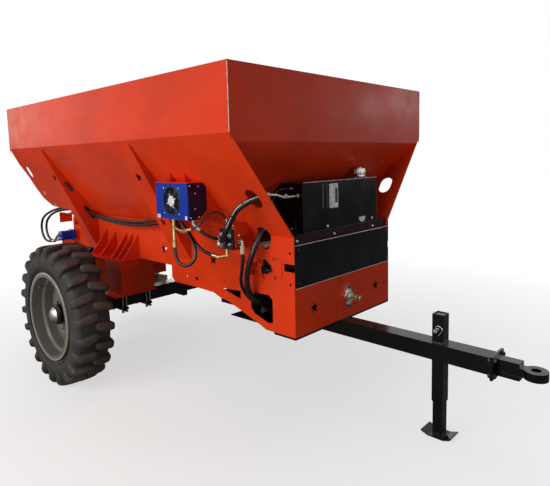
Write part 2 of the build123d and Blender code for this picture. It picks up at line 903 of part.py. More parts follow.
def make_cross_plates():
    """Front cross plate, belly sheet behind it, and the hanger that carries the drawbar's rear end."""
    top = drawbar_top() + cross_plate
    front, rear = rear_hanger
    low, high = hanger_bar
    with BuildPart() as plates:
        box_between(
            (behind(front_plate_depth), -chassis_half_width, drawbar_top()),
            (behind(0), chassis_half_width, top),
        )
        with BuildSketch(plane_along(-inside_half_width)):
            outline(
                (120, top - 2), (249, top + belly_sheet), (300, belly_height), (front + 10, belly_height),
                (front + 10, belly_height + belly_sheet), (298, belly_height + belly_sheet),
                (247, top + 2 * belly_sheet), (120, top + belly_sheet),
            )
        extrude(amount=2 * inside_half_width)
        box_between(
            (behind(rear), -hanger_half_width, drawbar_top()), (behind(front), hanger_half_width, top),
        )
        box_between((behind(rear), -inside_half_width, low), (behind(front), inside_half_width, high))
        for side in (-1, 1):
            across = side * (hanger_half_width - upright_width / 2)
            with Locations((behind((front + rear) / 2), across, (top + low) / 2)):
                Box(rear - front, upright_width, low - top)
    return plates


def make_hitch():
    """End plate with two clevis plates, above and below the tow eye's tongue."""
    middle = drawbar_bottom + drawbar_height / 2
    tongue = eye_thickness / 2 + seat_gap
    plate_start = behind(-drawbar_front - end_plate_thickness)
    with BuildPart() as hitch:
        box_between(
            (behind(-drawbar_front), -end_plate_half, middle - end_plate_height / 2),
            (plate_start, end_plate_half, middle + end_plate_height / 2),
        )
        for middle in (eye_height + tongue + 12, eye_height - tongue - 12):
            low, high = middle - 12, middle + 12
            box_between(
                (plate_start, -clevis_half_width, low), (behind(-clevis_front), clevis_half_width, high),
            )
    return hitch


def make_tow_eye():
    """Forged eye: a tongue between the clevis plates and a ring with an upright bore."""
    start = drawbar_front + end_plate_thickness + 6
    with BuildPart() as eye:
        with BuildSketch(Plane.XY.offset(eye_height - eye_thickness / 2)):
            with Locations((behind(-eye_ahead), 0)):
                Circle(eye_radius)
            with Locations((behind(-(start + eye_ahead) / 2), 0)):
                Rectangle(eye_ahead - start, 2 * clevis_half_width - 8)
            with Locations((behind(-eye_ahead), 0)):
                Circle(eye_bore_radius, mode=Mode.SUBTRACT)
        extrude(amount=eye_thickness)
    return eye


def square_tube(size, wall, low, high):
    """Upright square tube in the active part at the stand's place."""
    with Locations((behind(-stand_ahead), 0, (low + high) / 2)):
        Box(size, size, high - low)
        Box(size - 2 * wall, size - 2 * wall, high - low, mode=Mode.SUBTRACT)


def make_sleeve():
    """Outer tube of the parking stand, through the drawbar, with the pin's hole."""
    with BuildPart() as sleeve:
        square_tube(sleeve_size, sleeve_wall, sleeve_bottom, sleeve_top)
        with BuildSketch(plane_along(-sleeve_size)):
            with Locations((-stand_ahead, pin_height)):
                Circle(pin_radius + running)
        extrude(amount=sleeve_size, mode=Mode.SUBTRACT)
    return sleeve


def make_leg():
    """Inner tube of the parking stand, closed on top, on its bent foot plate."""
    ahead = behind(-stand_ahead)
    reach = foot_flat / 2
    with BuildPart() as leg:
        square_tube(leg_size, leg_wall, foot_thickness, leg_top)
        with Locations((ahead, 0, leg_top - leg_wall / 2)):
            Box(leg_size, leg_size, leg_wall)
        with BuildSketch(Plane(origin=(ahead, foot_half_width, 0), x_dir=(1, 0, 0), z_dir=(0, -1, 0))):
            outline(
                (-reach - foot_wing, foot_rise), (-reach - foot_wing, foot_rise + foot_thickness),
                (-reach, foot_thickness), (reach, foot_thickness),
                (reach + foot_wing, foot_rise + foot_thickness), (reach + foot_wing, foot_rise),
                (reach, 0), (-reach, 0),
            )
        extrude(amount=2 * foot_half_width)
    return leg


def make_pin():
    """Locking pin with a head; it stops at the leg's face, so the leg can slide past it."""
    inner = leg_size / 2 + slide_gap
    with BuildPart() as pin:
        with BuildSketch(plane_along(-inner)):
            with Locations((-stand_ahead, pin_height)):
                Circle(pin_radius)
        extrude(amount=-34)
        with BuildSketch(plane_along(-inner - 34)):
            with Locations((-stand_ahead, pin_height)):
                Circle(pin_radius + 4)
        extrude(amount=-6)
    return pin


save(make_drawbar(), "drawbar")
save(make_cross_plates(), "drawbar_plates")
save(make_hitch(), "hitch_bracket")
save(make_tow_eye(), "tow_eye")
save(make_sleeve(), "stand_sleeve")
save(make_leg(), "stand_leg")
save(make_pin(), "stand_pin")

# ---- oil cooler on its bracket, on the right ----
cooler_front = 508            # behind
cooler_rear = 843
cooler_low = 1303
cooler_high = 1528
cooler_depth = 96
cooler_gap = 17.34            # between its inner face and the hopper's side
cooler_face = side_slope_y(cooler_high) + cooler_gap + cooler_depth
fan_place = (677, 1416)
fan_recess_radius = 86
fan_recess_depth = 40
fan_hub_radius = 42
bracket_sheet = 4


def make_cooler():
    """Cooler housing with a round fan recess in its outer face."""
    with BuildPart() as cooler:
        box_between(
            (behind(cooler_rear), -cooler_face, cooler_low),
            (behind(cooler_front), cooler_depth - cooler_face, cooler_high),
        )
        with BuildSketch(plane_along(-cooler_face)):
            with Locations(fan_place):
                Circle(fan_recess_radius)
        extrude(amount=fan_recess_depth, mode=Mode.SUBTRACT)
        # short shaft that the fan turns on
        with BuildSketch(plane_along(fan_recess_depth - cooler_face)):
            with Locations(fan_place):
                Circle(8)
        extrude(amount=-26)
    return cooler


def make_fan():
    """Fan: a hub cap on a bored boss with seven blades."""
    back = fan_recess_depth - cooler_face - 6
    with BuildPart() as fan:
        with BuildSketch(plane_along(back)):
            with Locations(fan_place):
                Circle(fan_hub_radius)
        extrude(amount=-26)
        for i in range(7):
            with BuildSketch(plane_along(back - 6)):
                with Locations(Location((fan_place[0], fan_place[1], 0), (0, 0, i * 360 / 7))):
                    with Locations((52, 0)):
                        Rectangle(54, 24)
            extrude(amount=-10)
        with BuildSketch(plane_along(back + 1)):
            with Locations(fan_place):
                Circle(8 + running)
        extrude(amount=-22, mode=Mode.SUBTRACT)
    return fan


def make_cooler_bracket():
    """Shelf over the cooler, a cheek at each end and two small gussets on the slope."""
    seat = seat_gap
    with BuildPart() as bracket:
        shelf_low = cooler_high + seat
        shelf_high = shelf_low + bracket_sheet
        with BuildSketch(plane_across(cooler_rear + bracket_sheet + seat)):
            outline(
                (-cooler_face, shelf_low), (-cooler_face, shelf_high),
                (-side_slope_y(shelf_high) - seat, shelf_high),
                (-side_slope_y(shelf_high) - seat, shelf_low),
            )
        extrude(amount=cooler_rear - cooler_front + 2 * (bracket_sheet + seat))
        for distance in (cooler_rear + bracket_sheet + seat, cooler_front - seat):
            with BuildSketch(plane_across(distance)):
                outline(
                    (-cooler_face + cooler_depth - 20, cooler_low + 8),
                    (-cooler_face + cooler_depth - 20, shelf_low),
                    (-side_slope_y(shelf_low) - seat, shelf_low), (-side_slope_y(1312) - seat, 1312),
                )
            extrude(amount=bracket_sheet)
        for distance in (620, 780):
            with BuildSketch(plane_across(distance)):
                outline(
                    (-cooler_face + 60, shelf_high), (-side_slope_y(shelf_high) - seat, shelf_high),
                    (-side_slope_y(1592) - seat, 1592),
                )
            extrude(amount=bracket_sheet)
    return bracket


save(make_cooler(), "oil_cooler")
save(make_fan(), "cooler_fan")
save(make_cooler_bracket(), "cooler_bracket")

# ---- control valve on its bracket, on the right ----
valve_front = 345
valve_rear = 465
valve_low = 1112
valve_high = 1236
valve_outer = 700
valve_inner = 622
valve_plate = 6
boss_inset = 30
boss_height = 18
bracket_top = 1274


def make_valve():
    """Valve block with a port boss at each end of its top and one on its face."""
    middle = (valve_outer + valve_inner) / 2
    with BuildPart() as valve:
        box_between(
            (behind(valve_rear), -valve_outer, valve_low), (behind(valve_front), -valve_inner, valve_high),
        )
        for distance in (valve_front + boss_inset, valve_rear - boss_inset):
            with Locations((behind(distance), -middle, valve_high)):
                Cylinder(17, boss_height, align=(Align.CENTER, Align.CENTER, Align.MIN))
        with BuildSketch(plane_along(-valve_outer)):
            with Locations((valve_front + 42, valve_low + 66)):
                Circle(21)
        extrude(amount=-16)
    return valve


def make_valve_bracket():
    """Plate that stands out from the chassis and the slope, with the valve bolted behind it."""
    seat = seat_gap
    with BuildPart() as bracket:
        with BuildSketch(plane_across(valve_front - seat)):
            outline(
                (-valve_outer + 20, valve_low + 8), (-valve_outer + 12, bracket_top),
                (-side_slope_y(bracket_top) - seat / cos(slope_angle), bracket_top),
                (-chassis_half_width - seat, bend_height), (-chassis_half_width - seat, valve_low + 2),
            )
        extrude(amount=valve_plate)
    return bracket


save(make_valve(), "control_valve")
save(make_valve_bracket(), "valve_bracket")

# ---- conveyor drive: hydraulic motor on the rear shaft, on the right ----
motor_radius = 46
motor_length = 120
motor_port_face = rear_shaft_behind + 58
guard_front = 2590
guard_rear = 2920
guard_top = 1195
guard_drop = 100
guard_depth = 120
guard_sheet = 6


def make_motor():
    """Hydraulic motor in line with the rear shaft: flange, body and a port block."""
    start = shaft_end + seat_gap
    with BuildPart() as motor:
        with BuildSketch(plane_along(-start)):
            with Locations((rear_shaft_behind, conveyor_shaft_height)):
                RectangleRounded(104, 104, 20)
        extrude(amount=-16)
        with BuildSketch(plane_along(-start)):
            with Locations((rear_shaft_behind, conveyor_shaft_height)):
                Circle(motor_radius)
        extrude(amount=-motor_length)
        # port block on the motor's rear
        box_between(
            (behind(motor_port_face), -start - 112, conveyor_shaft_height - 20),
            (behind(rear_shaft_behind), -start - 24, conveyor_shaft_height + 20),
        )
    return motor


def make_motor_guard():
    """Folded guard over the motor, on the chassis plate: an upside-down U."""
    width = guard_rear - guard_front
    middle = (guard_rear + guard_front) / 2
    with BuildPart() as guard:
        with BuildSketch(plane_along(-chassis_half_width - seat_gap)):
            with Locations((middle, guard_top - guard_drop / 2)):
                Rectangle(width, guard_drop)
            with Locations((middle, guard_top - guard_drop / 2 - guard_sheet)):
                Rectangle(width - 2 * guard_sheet, guard_drop, mode=Mode.SUBTRACT)
        extrude(amount=-guard_depth)
    return guard


save(make_motor(), "conveyor_motor")
save(make_motor_guard(), "motor_guard")

# ---- rear gate in its guides ----
gate_thickness = 6
gate_top = 1290
gate_bottom = slat_top + moving_gap
gate_half_width = inside_half_width - 14
guide_width = 30


def make_gate():
    """Sliding gate plate with a stiffening rail."""
    face = rear_wall_behind + slide_gap
    with BuildPart() as gate:
        box_between(
            (behind(face + gate_thickness), -gate_half_width, gate_bottom),
            (behind(face), gate_half_width, gate_top),
        )
        box_between(
            (behind(face + gate_thickness + 30), -gate_half_width + 60, gate_bottom),
            (behind(face + gate_thickness), gate_half_width - 60, gate_bottom + 30),
        )
    return gate


def make_gate_guides():
    """Angle guides on the chassis plates that the gate slides in, on both sides."""
    face = rear_wall_behind + 2 * slide_gap + gate_thickness
    with BuildPart() as guides:
        for side in (-1, 1):
            inner, outer = gate_half_width - guide_width, inside_half_width
            y = sorted((side * inner, side * outer))
            box_between(
                (behind(face + 5), y[0], gate_bottom), (behind(face), y[1], rear_wall_top - 30),
            )
            y = sorted((side * (gate_half_width + slide_gap), side * outer))
            box_between(
                (behind(face), y[0], gate_bottom),
                (behind(rear_wall_behind + seat_gap), y[1], rear_wall_top - 30),
            )
    return guides


save(make_gate(), "rear_gate")
save(make_gate_guides(), "gate_guides")

# ---- spinner discs, their frame, motors and the drop chute above them ----
spinner_beam_height = 205
spinner_beam_size = 60
disc_thickness = 6
vane_height = 50
vane_count = 4
spinner_shaft_radius = 15
spinner_motor_radius = 55
chute_bottom = disc_height + vane_height + moving_gap + 12
chute_top = 945
chute_front = 2916
chute_rear = 3200
chute_sheet = 4
wing_length = 80
wing_height = 42
hanger_half_width = 545
hanger_front = 2560
hanger_rear = 2640


def make_spinner_frame():
    """Cross beam under the discs on two side hangers, with the discs' upright shafts."""
    arm_low = spinner_beam_height - spinner_beam_size / 2
    arm_high = spinner_beam_height + spinner_beam_size / 2
    with BuildPart() as frame:
        box_between(
            (behind(disc_behind + 40), -hanger_half_width, arm_low),
            (behind(disc_behind - 40), hanger_half_width, arm_high),
        )
        for side in (-1, 1):
            y = sorted((side * (hanger_half_width - 50), side * hanger_half_width))
            box_between((behind(disc_behind - 40), y[0], arm_low), (behind(hanger_front), y[1], arm_high))
            box_between((behind(hanger_rear), y[0], arm_high), (behind(hanger_front), y[1], 871 - seat_gap))
            with Locations((behind(disc_behind), side * disc_offset, arm_high)):
                Cylinder(spinner_motor_radius, 70, align=(Align.CENTER, Align.CENTER, Align.MIN))
                Cylinder(
                    spinner_shaft_radius, disc_height + 30 - arm_high,
                    align=(Align.CENTER, Align.CENTER, Align.MIN),
                )
    return frame


def make_disc(side):
    """Spinner disc with a bored hub, a cone on top and upright vanes."""
    centre = (behind(disc_behind), side * disc_offset)
    with BuildPart() as disc:
        with Locations((*centre, disc_height)):
            Cylinder(disc_radius, disc_thickness, align=(Align.CENTER, Align.CENTER, Align.MAX))
            Cone(70, 24, vane_height - 4, align=(Align.CENTER, Align.CENTER, Align.MIN))
            Cylinder(40, 20, align=(Align.CENTER, Align.CENTER, Align.MAX))
        for i in range(vane_count):
            angle = 360 / vane_count * i + 20
            with Locations(Location((*centre, disc_height + vane_height / 2), (0, 0, angle))):
                with Locations((disc_radius / 2 + 20, side * 26, 0)):
                    Box(disc_radius - 90, 6, vane_height)
        with Locations((*centre, disc_height)):
            Cylinder(spinner_shaft_radius + running, 80, mode=Mode.SUBTRACT)
    return disc


def make_chute():
    """Open box of five plates between the conveyor's end and the discs, bolted to the chassis."""
    middle = behind((chute_front + chute_rear) / 2)
    length = chute_rear - chute_front
    half = inside_half_width - seat_gap
    height = chute_top - chute_bottom
    level = chute_bottom + height / 2
    with BuildPart() as chute:
        with Locations((middle, 0, level)):
            Box(length - 2 * chute_sheet - 2 * seat_gap, chute_sheet, height)
        for distance in (chute_front + chute_sheet / 2, chute_rear - chute_sheet / 2):
            with Locations((behind(distance), 0, level)):
                Box(chute_sheet, 2 * (half - chute_sheet - seat_gap), height)
        for side in (-1, 1):
            across = side * (half - chute_sheet / 2)
            with Locations((middle, across, level)):
                Box(length, chute_sheet, height)
            with Locations((behind(chute_front - wing_length / 2), across, chute_top - wing_height / 2)):
                Box(wing_length, chute_sheet, wing_height)
    return chute


save(make_spinner_frame(), "spinner_frame")
save(make_disc(-1), "spinner_disc_right")
save(make_disc(1), "spinner_disc_left")
save(make_chute(), "drop_chute")

# ---- hoses: (behind, y, height) down each route, and the diameter ----
hoses = {
    "hose_suction": (36, (
        (398, -742, 1168), (355, -757, 1209), (292, -767, 1290), (225, -769, 1374), (150, -735, 1428),
        (92, -672, 1449),
    )),
    "hose_return": (36, (
        (238, -438, 1264), (237, -498, 1254), (236, -560, 1216), (243, -602, 1148), (268, -620, 1072),
        (300, -620, 995), (326, -612, 918), (338, -596, 846), (336, -562, 784), (316, -500, 746),
        (300, -430, 732), (300, -356, 728), (312, -286, 726), (330, -214, 727), (350, -144, 728),
    )),
    "hose_pressure": (22, (
        (302, -660, 1092), (305, -658, 1040), (332, -644, 978), (364, -628, 915), (378, -604, 852),
        (380, -566, 796), (366, -520, 744), (352, -470, 712), (344, -400, 692), (352, -330, 684),
        (370, -238, 680), (390, -145, 680),
    )),
    "hose_cooler": (20, (
        (552, -788, 1232), (538, -772, 1210), (520, -750, 1191), (502, -722, 1176), (492, -692, 1167),
    )),
    "hose_bypass": (13, (
        (556, -846, 1243), (520, -838, 1252), (492, -820, 1285), (476, -790, 1322), (462, -755, 1345),
        (448, -718, 1342), (438, -690, 1322), (435, -672, 1298),
    )),
    "hose_long_outer": (22, (
        (3028, -682, 906), (3090, -690, 896), (3167, -698, 907), (3223, -701, 961), (3237, -702, 1038),
        (3203, -702, 1108), (3140, -702, 1150), (3054, -701, 1184), (2940, -694, 1218), (2815, -670, 1244),
        (2700, -642, 1254), (2560, -622, 1246), (2420, -613, 1234), (2270, -618, 1212), (2100, -630, 1197),
        (1900, -640, 1190), (1690, -648, 1190), (1490, -650, 1198), (1320, -650, 1220), (1190, -647, 1238),
        (1085, -646, 1244), (985, -653, 1250), (905, -684, 1258), (840, -717, 1253), (780, -744, 1236),
        (712, -762, 1198), (648, -774, 1156), (602, -786, 1106), (588, -802, 1043), (633, -820, 998),
        (695, -838, 998),
        (740, -846, 1043), (741, -846, 1112),
    )),
    "hose_long_inner": (22, (
        (540, -700, 1060), (592, -708, 1068), (645, -714, 1090), (695, -716, 1124), (745, -711, 1164),
        (805, -697, 1198), (880, -667, 1221), (975, -638, 1226), (1085, -631, 1223), (1200, -632, 1210),
        (1320, -634, 1194), (1490, -634, 1174), (1690, -632, 1165), (1900, -624, 1165), (2100, -614, 1173),
        (2270, -602, 1190), (2420, -596, 1212), (2560, -604, 1224), (2700, -620, 1231), (2815, -644, 1224),
        (2930, -662, 1206), (3040, -667, 1174), (3122, -668, 1136), (3181, -668, 1092), (3210, -667, 1026),
        (3196, -666, 960), (3146, -662, 912), (3078, -652, 902), (3018, -640, 916),
    )),
    "hose_cable": (7, (
        (112, -434, 1478), (113, -500, 1482), (113, -556, 1462), (111, -582, 1415), (109, -586, 1360),
        (108, -570, 1305), (108, -535, 1258), (109, -485, 1234), (110, -434, 1230),
    )),
}


def place(point):
    """Vector in the model's frame of a (behind, y, height) point."""
    distance, across, height = point
    return Vector(behind(distance), across, height)


def make_hose(name, diameter, route):
    """Tube along straight runs joined by arcs, each arc as large as its two runs allow."""
    points = [place(point) for point in route]
    radii = []
    for before, corner, after in zip(points, points[1:], points[2:]):
        first, second = corner - before, after - corner
        half_turn = radians(first.get_angle(second)) / 2
        radii.append(0.45 * min(first.length, second.length) / tan(half_turn))
    with BuildPart() as tube:
        with BuildLine() as path:
            FilletPolyline(*points, radius=radii)
        with BuildSketch(Plane(origin=points[0], z_dir=points[1] - points[0])):
            Circle(diameter / 2)
        sweep(path=path.line)
    length = sum(edge.length for edge in path.edges())
    share = tube.part.volume / (pi * diameter ** 2 / 4 * length)
    in_diameters = ", ".join(f"{radius / diameter:.1f}" for radius in radii)
    print(f"{name}: {length:.0f} mm, volume / (section x length) {share:.4f}")
    print(f"    radii / diameter {in_diameters}")
    return tube


for name, (diameter, route) in hoses.items():
    save(make_hose(name, diameter, route), name)

# ---- fittings: a ferrule on a hose's end, then a pipe through the corners to its port ----


def pipe(points, radius):
    """Pipe through the points in the active part, with a ball at each corner."""
    for start, end in zip(points, points[1:]):
        upright = (Align.CENTER, Align.CENTER, Align.MIN)
        rod = Cylinder(radius, (end - start).length, align=upright, mode=Mode.PRIVATE)
        add(Plane(origin=start, z_dir=end - start) * rod)
    for corner in points[1:-1]:
        with Locations(corner):
            Sphere(radius)


def fitting(name, end, ferrule_length, ferrule_radius, pipe_radius, corners):
    """Ferrule in line with the hose's first (0) or last (-1) run, and its pipe to the port."""
    route = hoses[name][1]
    near, tip = (place(route[1]), place(route[0])) if end == 0 else (place(route[-2]), place(route[-1]))
    outward = (tip - near).normalized()
    back = tip + outward * ferrule_length
    pipe((tip, back), ferrule_radius)
    pipe((back - outward * 2, *[place(corner) for corner in corners]), pipe_radius)


def gland(name, end, ferrule_radius, face, face_radius, height):
    """Round boss on a side face at y = -face, with the ferrule of a hose's end run into it."""
    route = hoses[name][1]
    near, tip = (place(route[1]), place(route[0])) if end == 0 else (place(route[-2]), place(route[-1]))
    outward = (tip - near).normalized()
    middle = tip + outward * ((-face - height / 2 - tip.Y) / outward.Y)
    pipe((tip, middle), ferrule_radius)
    pipe((middle + Vector(0, -height / 2, 0), middle + Vector(0, height / 2 - seat_gap, 0)), face_radius)


valve_middle = (valve_outer + valve_inner) / 2
web_front = valve_front - valve_plate - seat_gap
with BuildPart() as fittings_steel:
    # hose, end, ferrule length and radius, pipe radius, corners down to a face
    fitting("hose_suction", 0, 30, 21, 19, ((425, -735, 1142), (425, -valve_outer - seat_gap, 1142)))
    fitting(
        "hose_pressure", 0, 50, 13, 11,
        ((301, -valve_middle, 1166), (web_front - seat_gap, -valve_middle, 1166)),
    )
    fitting("hose_cooler", 0, 30, 15, 12, ((578, -812, 1270), (578, -812, cooler_low - seat_gap)))
    fitting("hose_cooler", -1, 16, 15, 12, ((486, -670, 1163), (valve_rear + seat_gap, -670, 1163)))
    fitting(
        "hose_bypass", -1, 16, 9, 8,
        ((435, -valve_middle, 1270), (435, -valve_middle, valve_high + boss_height + seat_gap)),
    )
    fitting("hose_long_outer", 0, 34, 14, 11, ((2940, -668, 972), (motor_port_face + seat_gap, -668, 972)))
    fitting("hose_long_inner", -1, 34, 14, 11, ((2936, -622, 972), (motor_port_face + seat_gap, -622, 972)))
    fitting(
        "hose_suction", -1, 34, 21, 8,
        ((62, -600, 1452), (62, -540, 1434), (62, -tank_half_width - seat_gap, 1434)),
    )
    gland("hose_return", 0, 21, tank_half_width, 26, 16)
    gland("hose_return", -1, 21, pump_half_width, 26, 18)
    gland("hose_pressure", -1, 13, pump_half_width, 17, 14)
    gland("hose_cable", 0, 6, tank_half_width, 9, 10)
    gland("hose_cable", -1, 6, tank_half_width, 9, 10)
save(fittings_steel, "fittings_steel")

with BuildPart() as fittings_brass:
    # tee under the cooler: nipple, ferrule of the looped hose, branch to the bypass hose
    tee = (741, -846, 1243)
    fitting("hose_long_outer", -1, 52, 13, 11, (tee, (741, -846, cooler_low - seat_gap)))
    fitting("hose_bypass", 0, 80, 9, 11, (tee,))
    # elbow under the valve
    fitting("hose_long_inner", 0, 56, 13, 11, ((421, -682, 1066), (421, -682, valve_low - seat_gap)))
save(fittings_brass, "fittings_brass")
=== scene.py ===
"""Looks of the trailed spreader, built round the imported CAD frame. Lengths are in metres."""
import json
import random
from math import cos, pi, radians, sin, sqrt

import bmesh
import bpy
from mathutils import Matrix, Vector


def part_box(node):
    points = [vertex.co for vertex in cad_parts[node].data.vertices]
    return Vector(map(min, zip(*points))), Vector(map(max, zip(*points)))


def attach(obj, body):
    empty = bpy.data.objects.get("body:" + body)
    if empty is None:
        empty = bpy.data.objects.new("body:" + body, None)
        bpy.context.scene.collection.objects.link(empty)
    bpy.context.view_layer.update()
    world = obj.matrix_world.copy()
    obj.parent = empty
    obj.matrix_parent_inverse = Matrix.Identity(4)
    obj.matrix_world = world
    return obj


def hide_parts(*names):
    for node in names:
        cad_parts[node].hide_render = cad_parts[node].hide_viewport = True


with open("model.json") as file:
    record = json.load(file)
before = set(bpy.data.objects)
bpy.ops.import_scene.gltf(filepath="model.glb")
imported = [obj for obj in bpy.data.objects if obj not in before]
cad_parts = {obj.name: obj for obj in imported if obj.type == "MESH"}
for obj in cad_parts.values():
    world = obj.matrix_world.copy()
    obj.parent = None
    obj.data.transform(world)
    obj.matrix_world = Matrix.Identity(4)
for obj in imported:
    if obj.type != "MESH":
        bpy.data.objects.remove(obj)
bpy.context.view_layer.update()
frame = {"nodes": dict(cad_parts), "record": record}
NODES = frame["nodes"]
X, Y, Z = Vector((1, 0, 0)), Vector((0, 1, 0)), Vector((0, 0, 1))
SIDES = (("right", -1), ("left", 1))     # each side's name, and which way it lies along Y
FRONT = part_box("hopper_sides")[1].x      # the hopper's front plane
SHAFT_HEIGHT = 0.978                     # both conveyor shafts
BEARINGS = (0.355, 2.820)                # the two shafts, behind the front plane
GATE_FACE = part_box("rear_gate")[0].x + 0.0305     # where the gate's bolts and handles sit
PLATE_FACE = 0.528                       # outer face of the chassis plates, from the middle plane
DISC_FACE = 1.130                        # outer face of the wheel discs


def at(behind, across, height):
    """Point at a distance behind the hopper's front plane."""
    return Vector((FRONT - behind, across, height))


def placed(name, data):
    """New object in the scene."""
    item = bpy.data.objects.new(name, data)
    bpy.context.scene.collection.objects.link(item)
    return item


# ---- camera ----
def make_camera():
    azimuth, pitch, roll = radians(42.94), radians(6.11), radians(-1.33)
    turn = Matrix.Rotation(azimuth, 4, "Z") @ Matrix.Rotation(pi / 2 - pitch, 4, "X")
    data = bpy.data.cameras.new("camera")
    data.lens, data.sensor_width = 32.54, 36
    data.shift_x, data.shift_y = -0.0137, -0.058
    camera = placed("camera", data)
    place = Matrix.Translation((2.9645, -2.680, 1.666))
    camera.matrix_world = place @ turn @ Matrix.Rotation(roll, 4, "Z")
    bpy.context.scene.camera = camera


make_camera()


# ---- node helpers ----
def node(tree, kind, inputs=(), **settings):
    """New node: each input is a plain value, or the socket that is linked to it."""
    made = tree.nodes.new("ShaderNode" + kind)
    for name, value in settings.items():
        setattr(made, name, value)
    for name, value in dict(inputs).items():
        if isinstance(value, bpy.types.NodeSocket):
            tree.links.new(value, made.inputs[name])
        else:
            made.inputs[name].default_value = value
    return made


def shader(name):
    """New node material: its tree, its Principled shader and the object coordinates."""
    material = bpy.data.materials.new(name)
    material.use_nodes = True
    tree = material.node_tree
    return material, tree, tree.nodes["Principled BSDF"], node(tree, "TexCoord").outputs["Object"]


def noise(tree, place, scale, detail=4, stretch=None):
    """Noise texture's value; stretch scales the coordinates first, for streaks."""
    if stretch:
        place = node(tree, "Mapping", {"Scale": stretch, "Vector": place}).outputs["Vector"]
    return node(tree, "TexNoise", {"Scale": scale, "Detail": detail, "Vector": place}).outputs["Fac"]


def ramp(tree, value, *stops):
    """Colour ramp over (position, colour) stops."""
    made = node(tree, "ValToRGB", {"Fac": value})
    elements = made.color_ramp.elements
    for i, (position, colour) in enumerate((stops[0], stops[-1])):
        elements[i].position, elements[i].color = position, (*colour, 1)
    for position, colour in stops[1:-1]:
        elements.new(position).color = (*colour, 1)
    return made.outputs["Color"]


def spread(tree, value, low, high, start=0.3, end=0.7):
    """Value mapped from start..end to low..high."""
    limits = {"From Min": start, "From Max": end, "To Min": low, "To Max": high}
    return node(tree, "MapRange", {**limits, "Value": value}).outputs["Result"]


def mixed(tree, factor, first, second):
    """Two colours mixed by a factor."""
    return node(tree, "Mix", {"Factor": factor, 6: first, 7: second}, data_type="RGBA").outputs[2]


def computed(tree, operation, first, second):
    """Two values worked into one."""
    return node(tree, "Math", {0: first, 1: second}, operation=operation).outputs["Value"]


def blended(tree, share, first, second, output):
    """Two shaders mixed into the tree's output."""
    mix = node(tree, "MixShader", {"Fac": share, 1: first, 2: second})
    tree.links.new(mix.outputs["Shader"], tree.nodes[output].inputs["Surface"])


def dressed(tree, target, colour, rough):
    """The shader's colour and roughness, both from sockets."""
    tree.links.new(colour, target.inputs["Base Color"])
    tree.links.new(rough, target.inputs["Roughness"])


def bumped(tree, target, value, strength, distance, rounding=0.0):
    """Bump on the shader's normal, over edges rounded by a bevel."""
    bump = node(tree, "Bump", {"Strength": strength, "Distance": distance, "Height": value})
    if rounding:
        bevel = node(tree, "Bevel", {"Radius": rounding}, samples=4)
        tree.links.new(bevel.outputs["Normal"], bump.inputs["Normal"])
    tree.links.new(bump.outputs["Normal"], target.inputs["Normal"])


def shade(colour, factor):
    return tuple(min(1, c * factor) for c in colour)


def toned(tree, value, colour, dark, light, end=0.7):
    """Colour that drifts between a darker and a lighter tone of itself."""
    return ramp(tree, value, (0.3, shade(colour, dark)), (end, shade(colour, light)))


# ---- materials ----
def paint(name, colour, rough=0.3, coat=0.25, dust=(0.30, 0.24, 0.19), dusty=0.10, rounding=0.003):
    """Sprayed gloss paint: slow colour drift, thin dust, fine scratches and orange peel."""
    material, tree, target, place = shader(name)
    tones = (0.35, shade(colour, 0.86)), (0.5, colour), (0.68, shade(colour, 1.1))
    drift = ramp(tree, noise(tree, place, 1.7, 3), *tones)
    powder = ramp(tree, noise(tree, place, 9, 8), (0.0, shade(colour, 0.95)), (1.0, dust))
    base = mixed(tree, spread(tree, noise(tree, place, 4, 7), 0, dusty, 0.48, 0.75), drift, powder)
    scratches = spread(tree, noise(tree, place, 26, 3, (0.35, 1, 5)), 0, 0.35, 0.71, 0.76)
    bright = toned(tree, noise(tree, place, 60, 2), colour, 1.25, 1.7, 0.8)
    uneven = spread(tree, noise(tree, place, 7, 6), rough - 0.07, rough + 0.12)
    dressed(tree, target, mixed(tree, scratches, base, bright), uneven)
    target.inputs["Coat Weight"].default_value = coat
    target.inputs["Coat Roughness"].default_value = 0.12
    target.inputs["Specular IOR Level"].default_value = 0.12
    bumped(tree, target, noise(tree, place, 210, 2), 0.12, 0.0008, rounding)
    return material


def metal(name, colour, rough=0.3, stained=0.3, stain=(0.16, 0.12, 0.08)):
    """Bare or plated metal with brushed grain and stains."""
    material, tree, target, place = shader(name)
    grain = (1, 1, 12)
    tone = toned(tree, noise(tree, place, 40, 3, grain), colour, 0.78, 1.12)
    dark = toned(tree, noise(tree, place, 30, 5), stain, 0.7, 1.3)
    patches = spread(tree, noise(tree, place, 11, 6), 0, stained, 0.5, 0.72)
    uneven = spread(tree, noise(tree, place, 18, 5), rough - 0.08, rough + 0.2)
    dressed(tree, target, mixed(tree, patches, tone, dark), uneven)
    target.inputs["Metallic"].default_value = 1
    bumped(tree, target, noise(tree, place, 160, 3, grain), 0.15, 0.0005, 0.001)
    return material


def rubber(name, colour, dust, dusty, rough, scale):
    """Rubber or plastic with dust in its low places and a fine grain."""
    material, tree, target, place = shader(name)
    tone = toned(tree, noise(tree, place, scale, 5), colour, 0.7, 1.3)
    powder = toned(tree, noise(tree, place, scale * 3, 5), dust, 0.7, 1.2)
    patches = spread(tree, noise(tree, place, scale * 0.5, 8), 0, dusty, 0.4, 0.72)
    uneven = spread(tree, noise(tree, place, scale * 2, 5), rough - 0.12, rough + 0.2)
    dressed(tree, target, mixed(tree, patches, tone, powder), uneven)
    bumped(tree, target, noise(tree, place, scale * 20, 4), 0.25, 0.001)
    return material


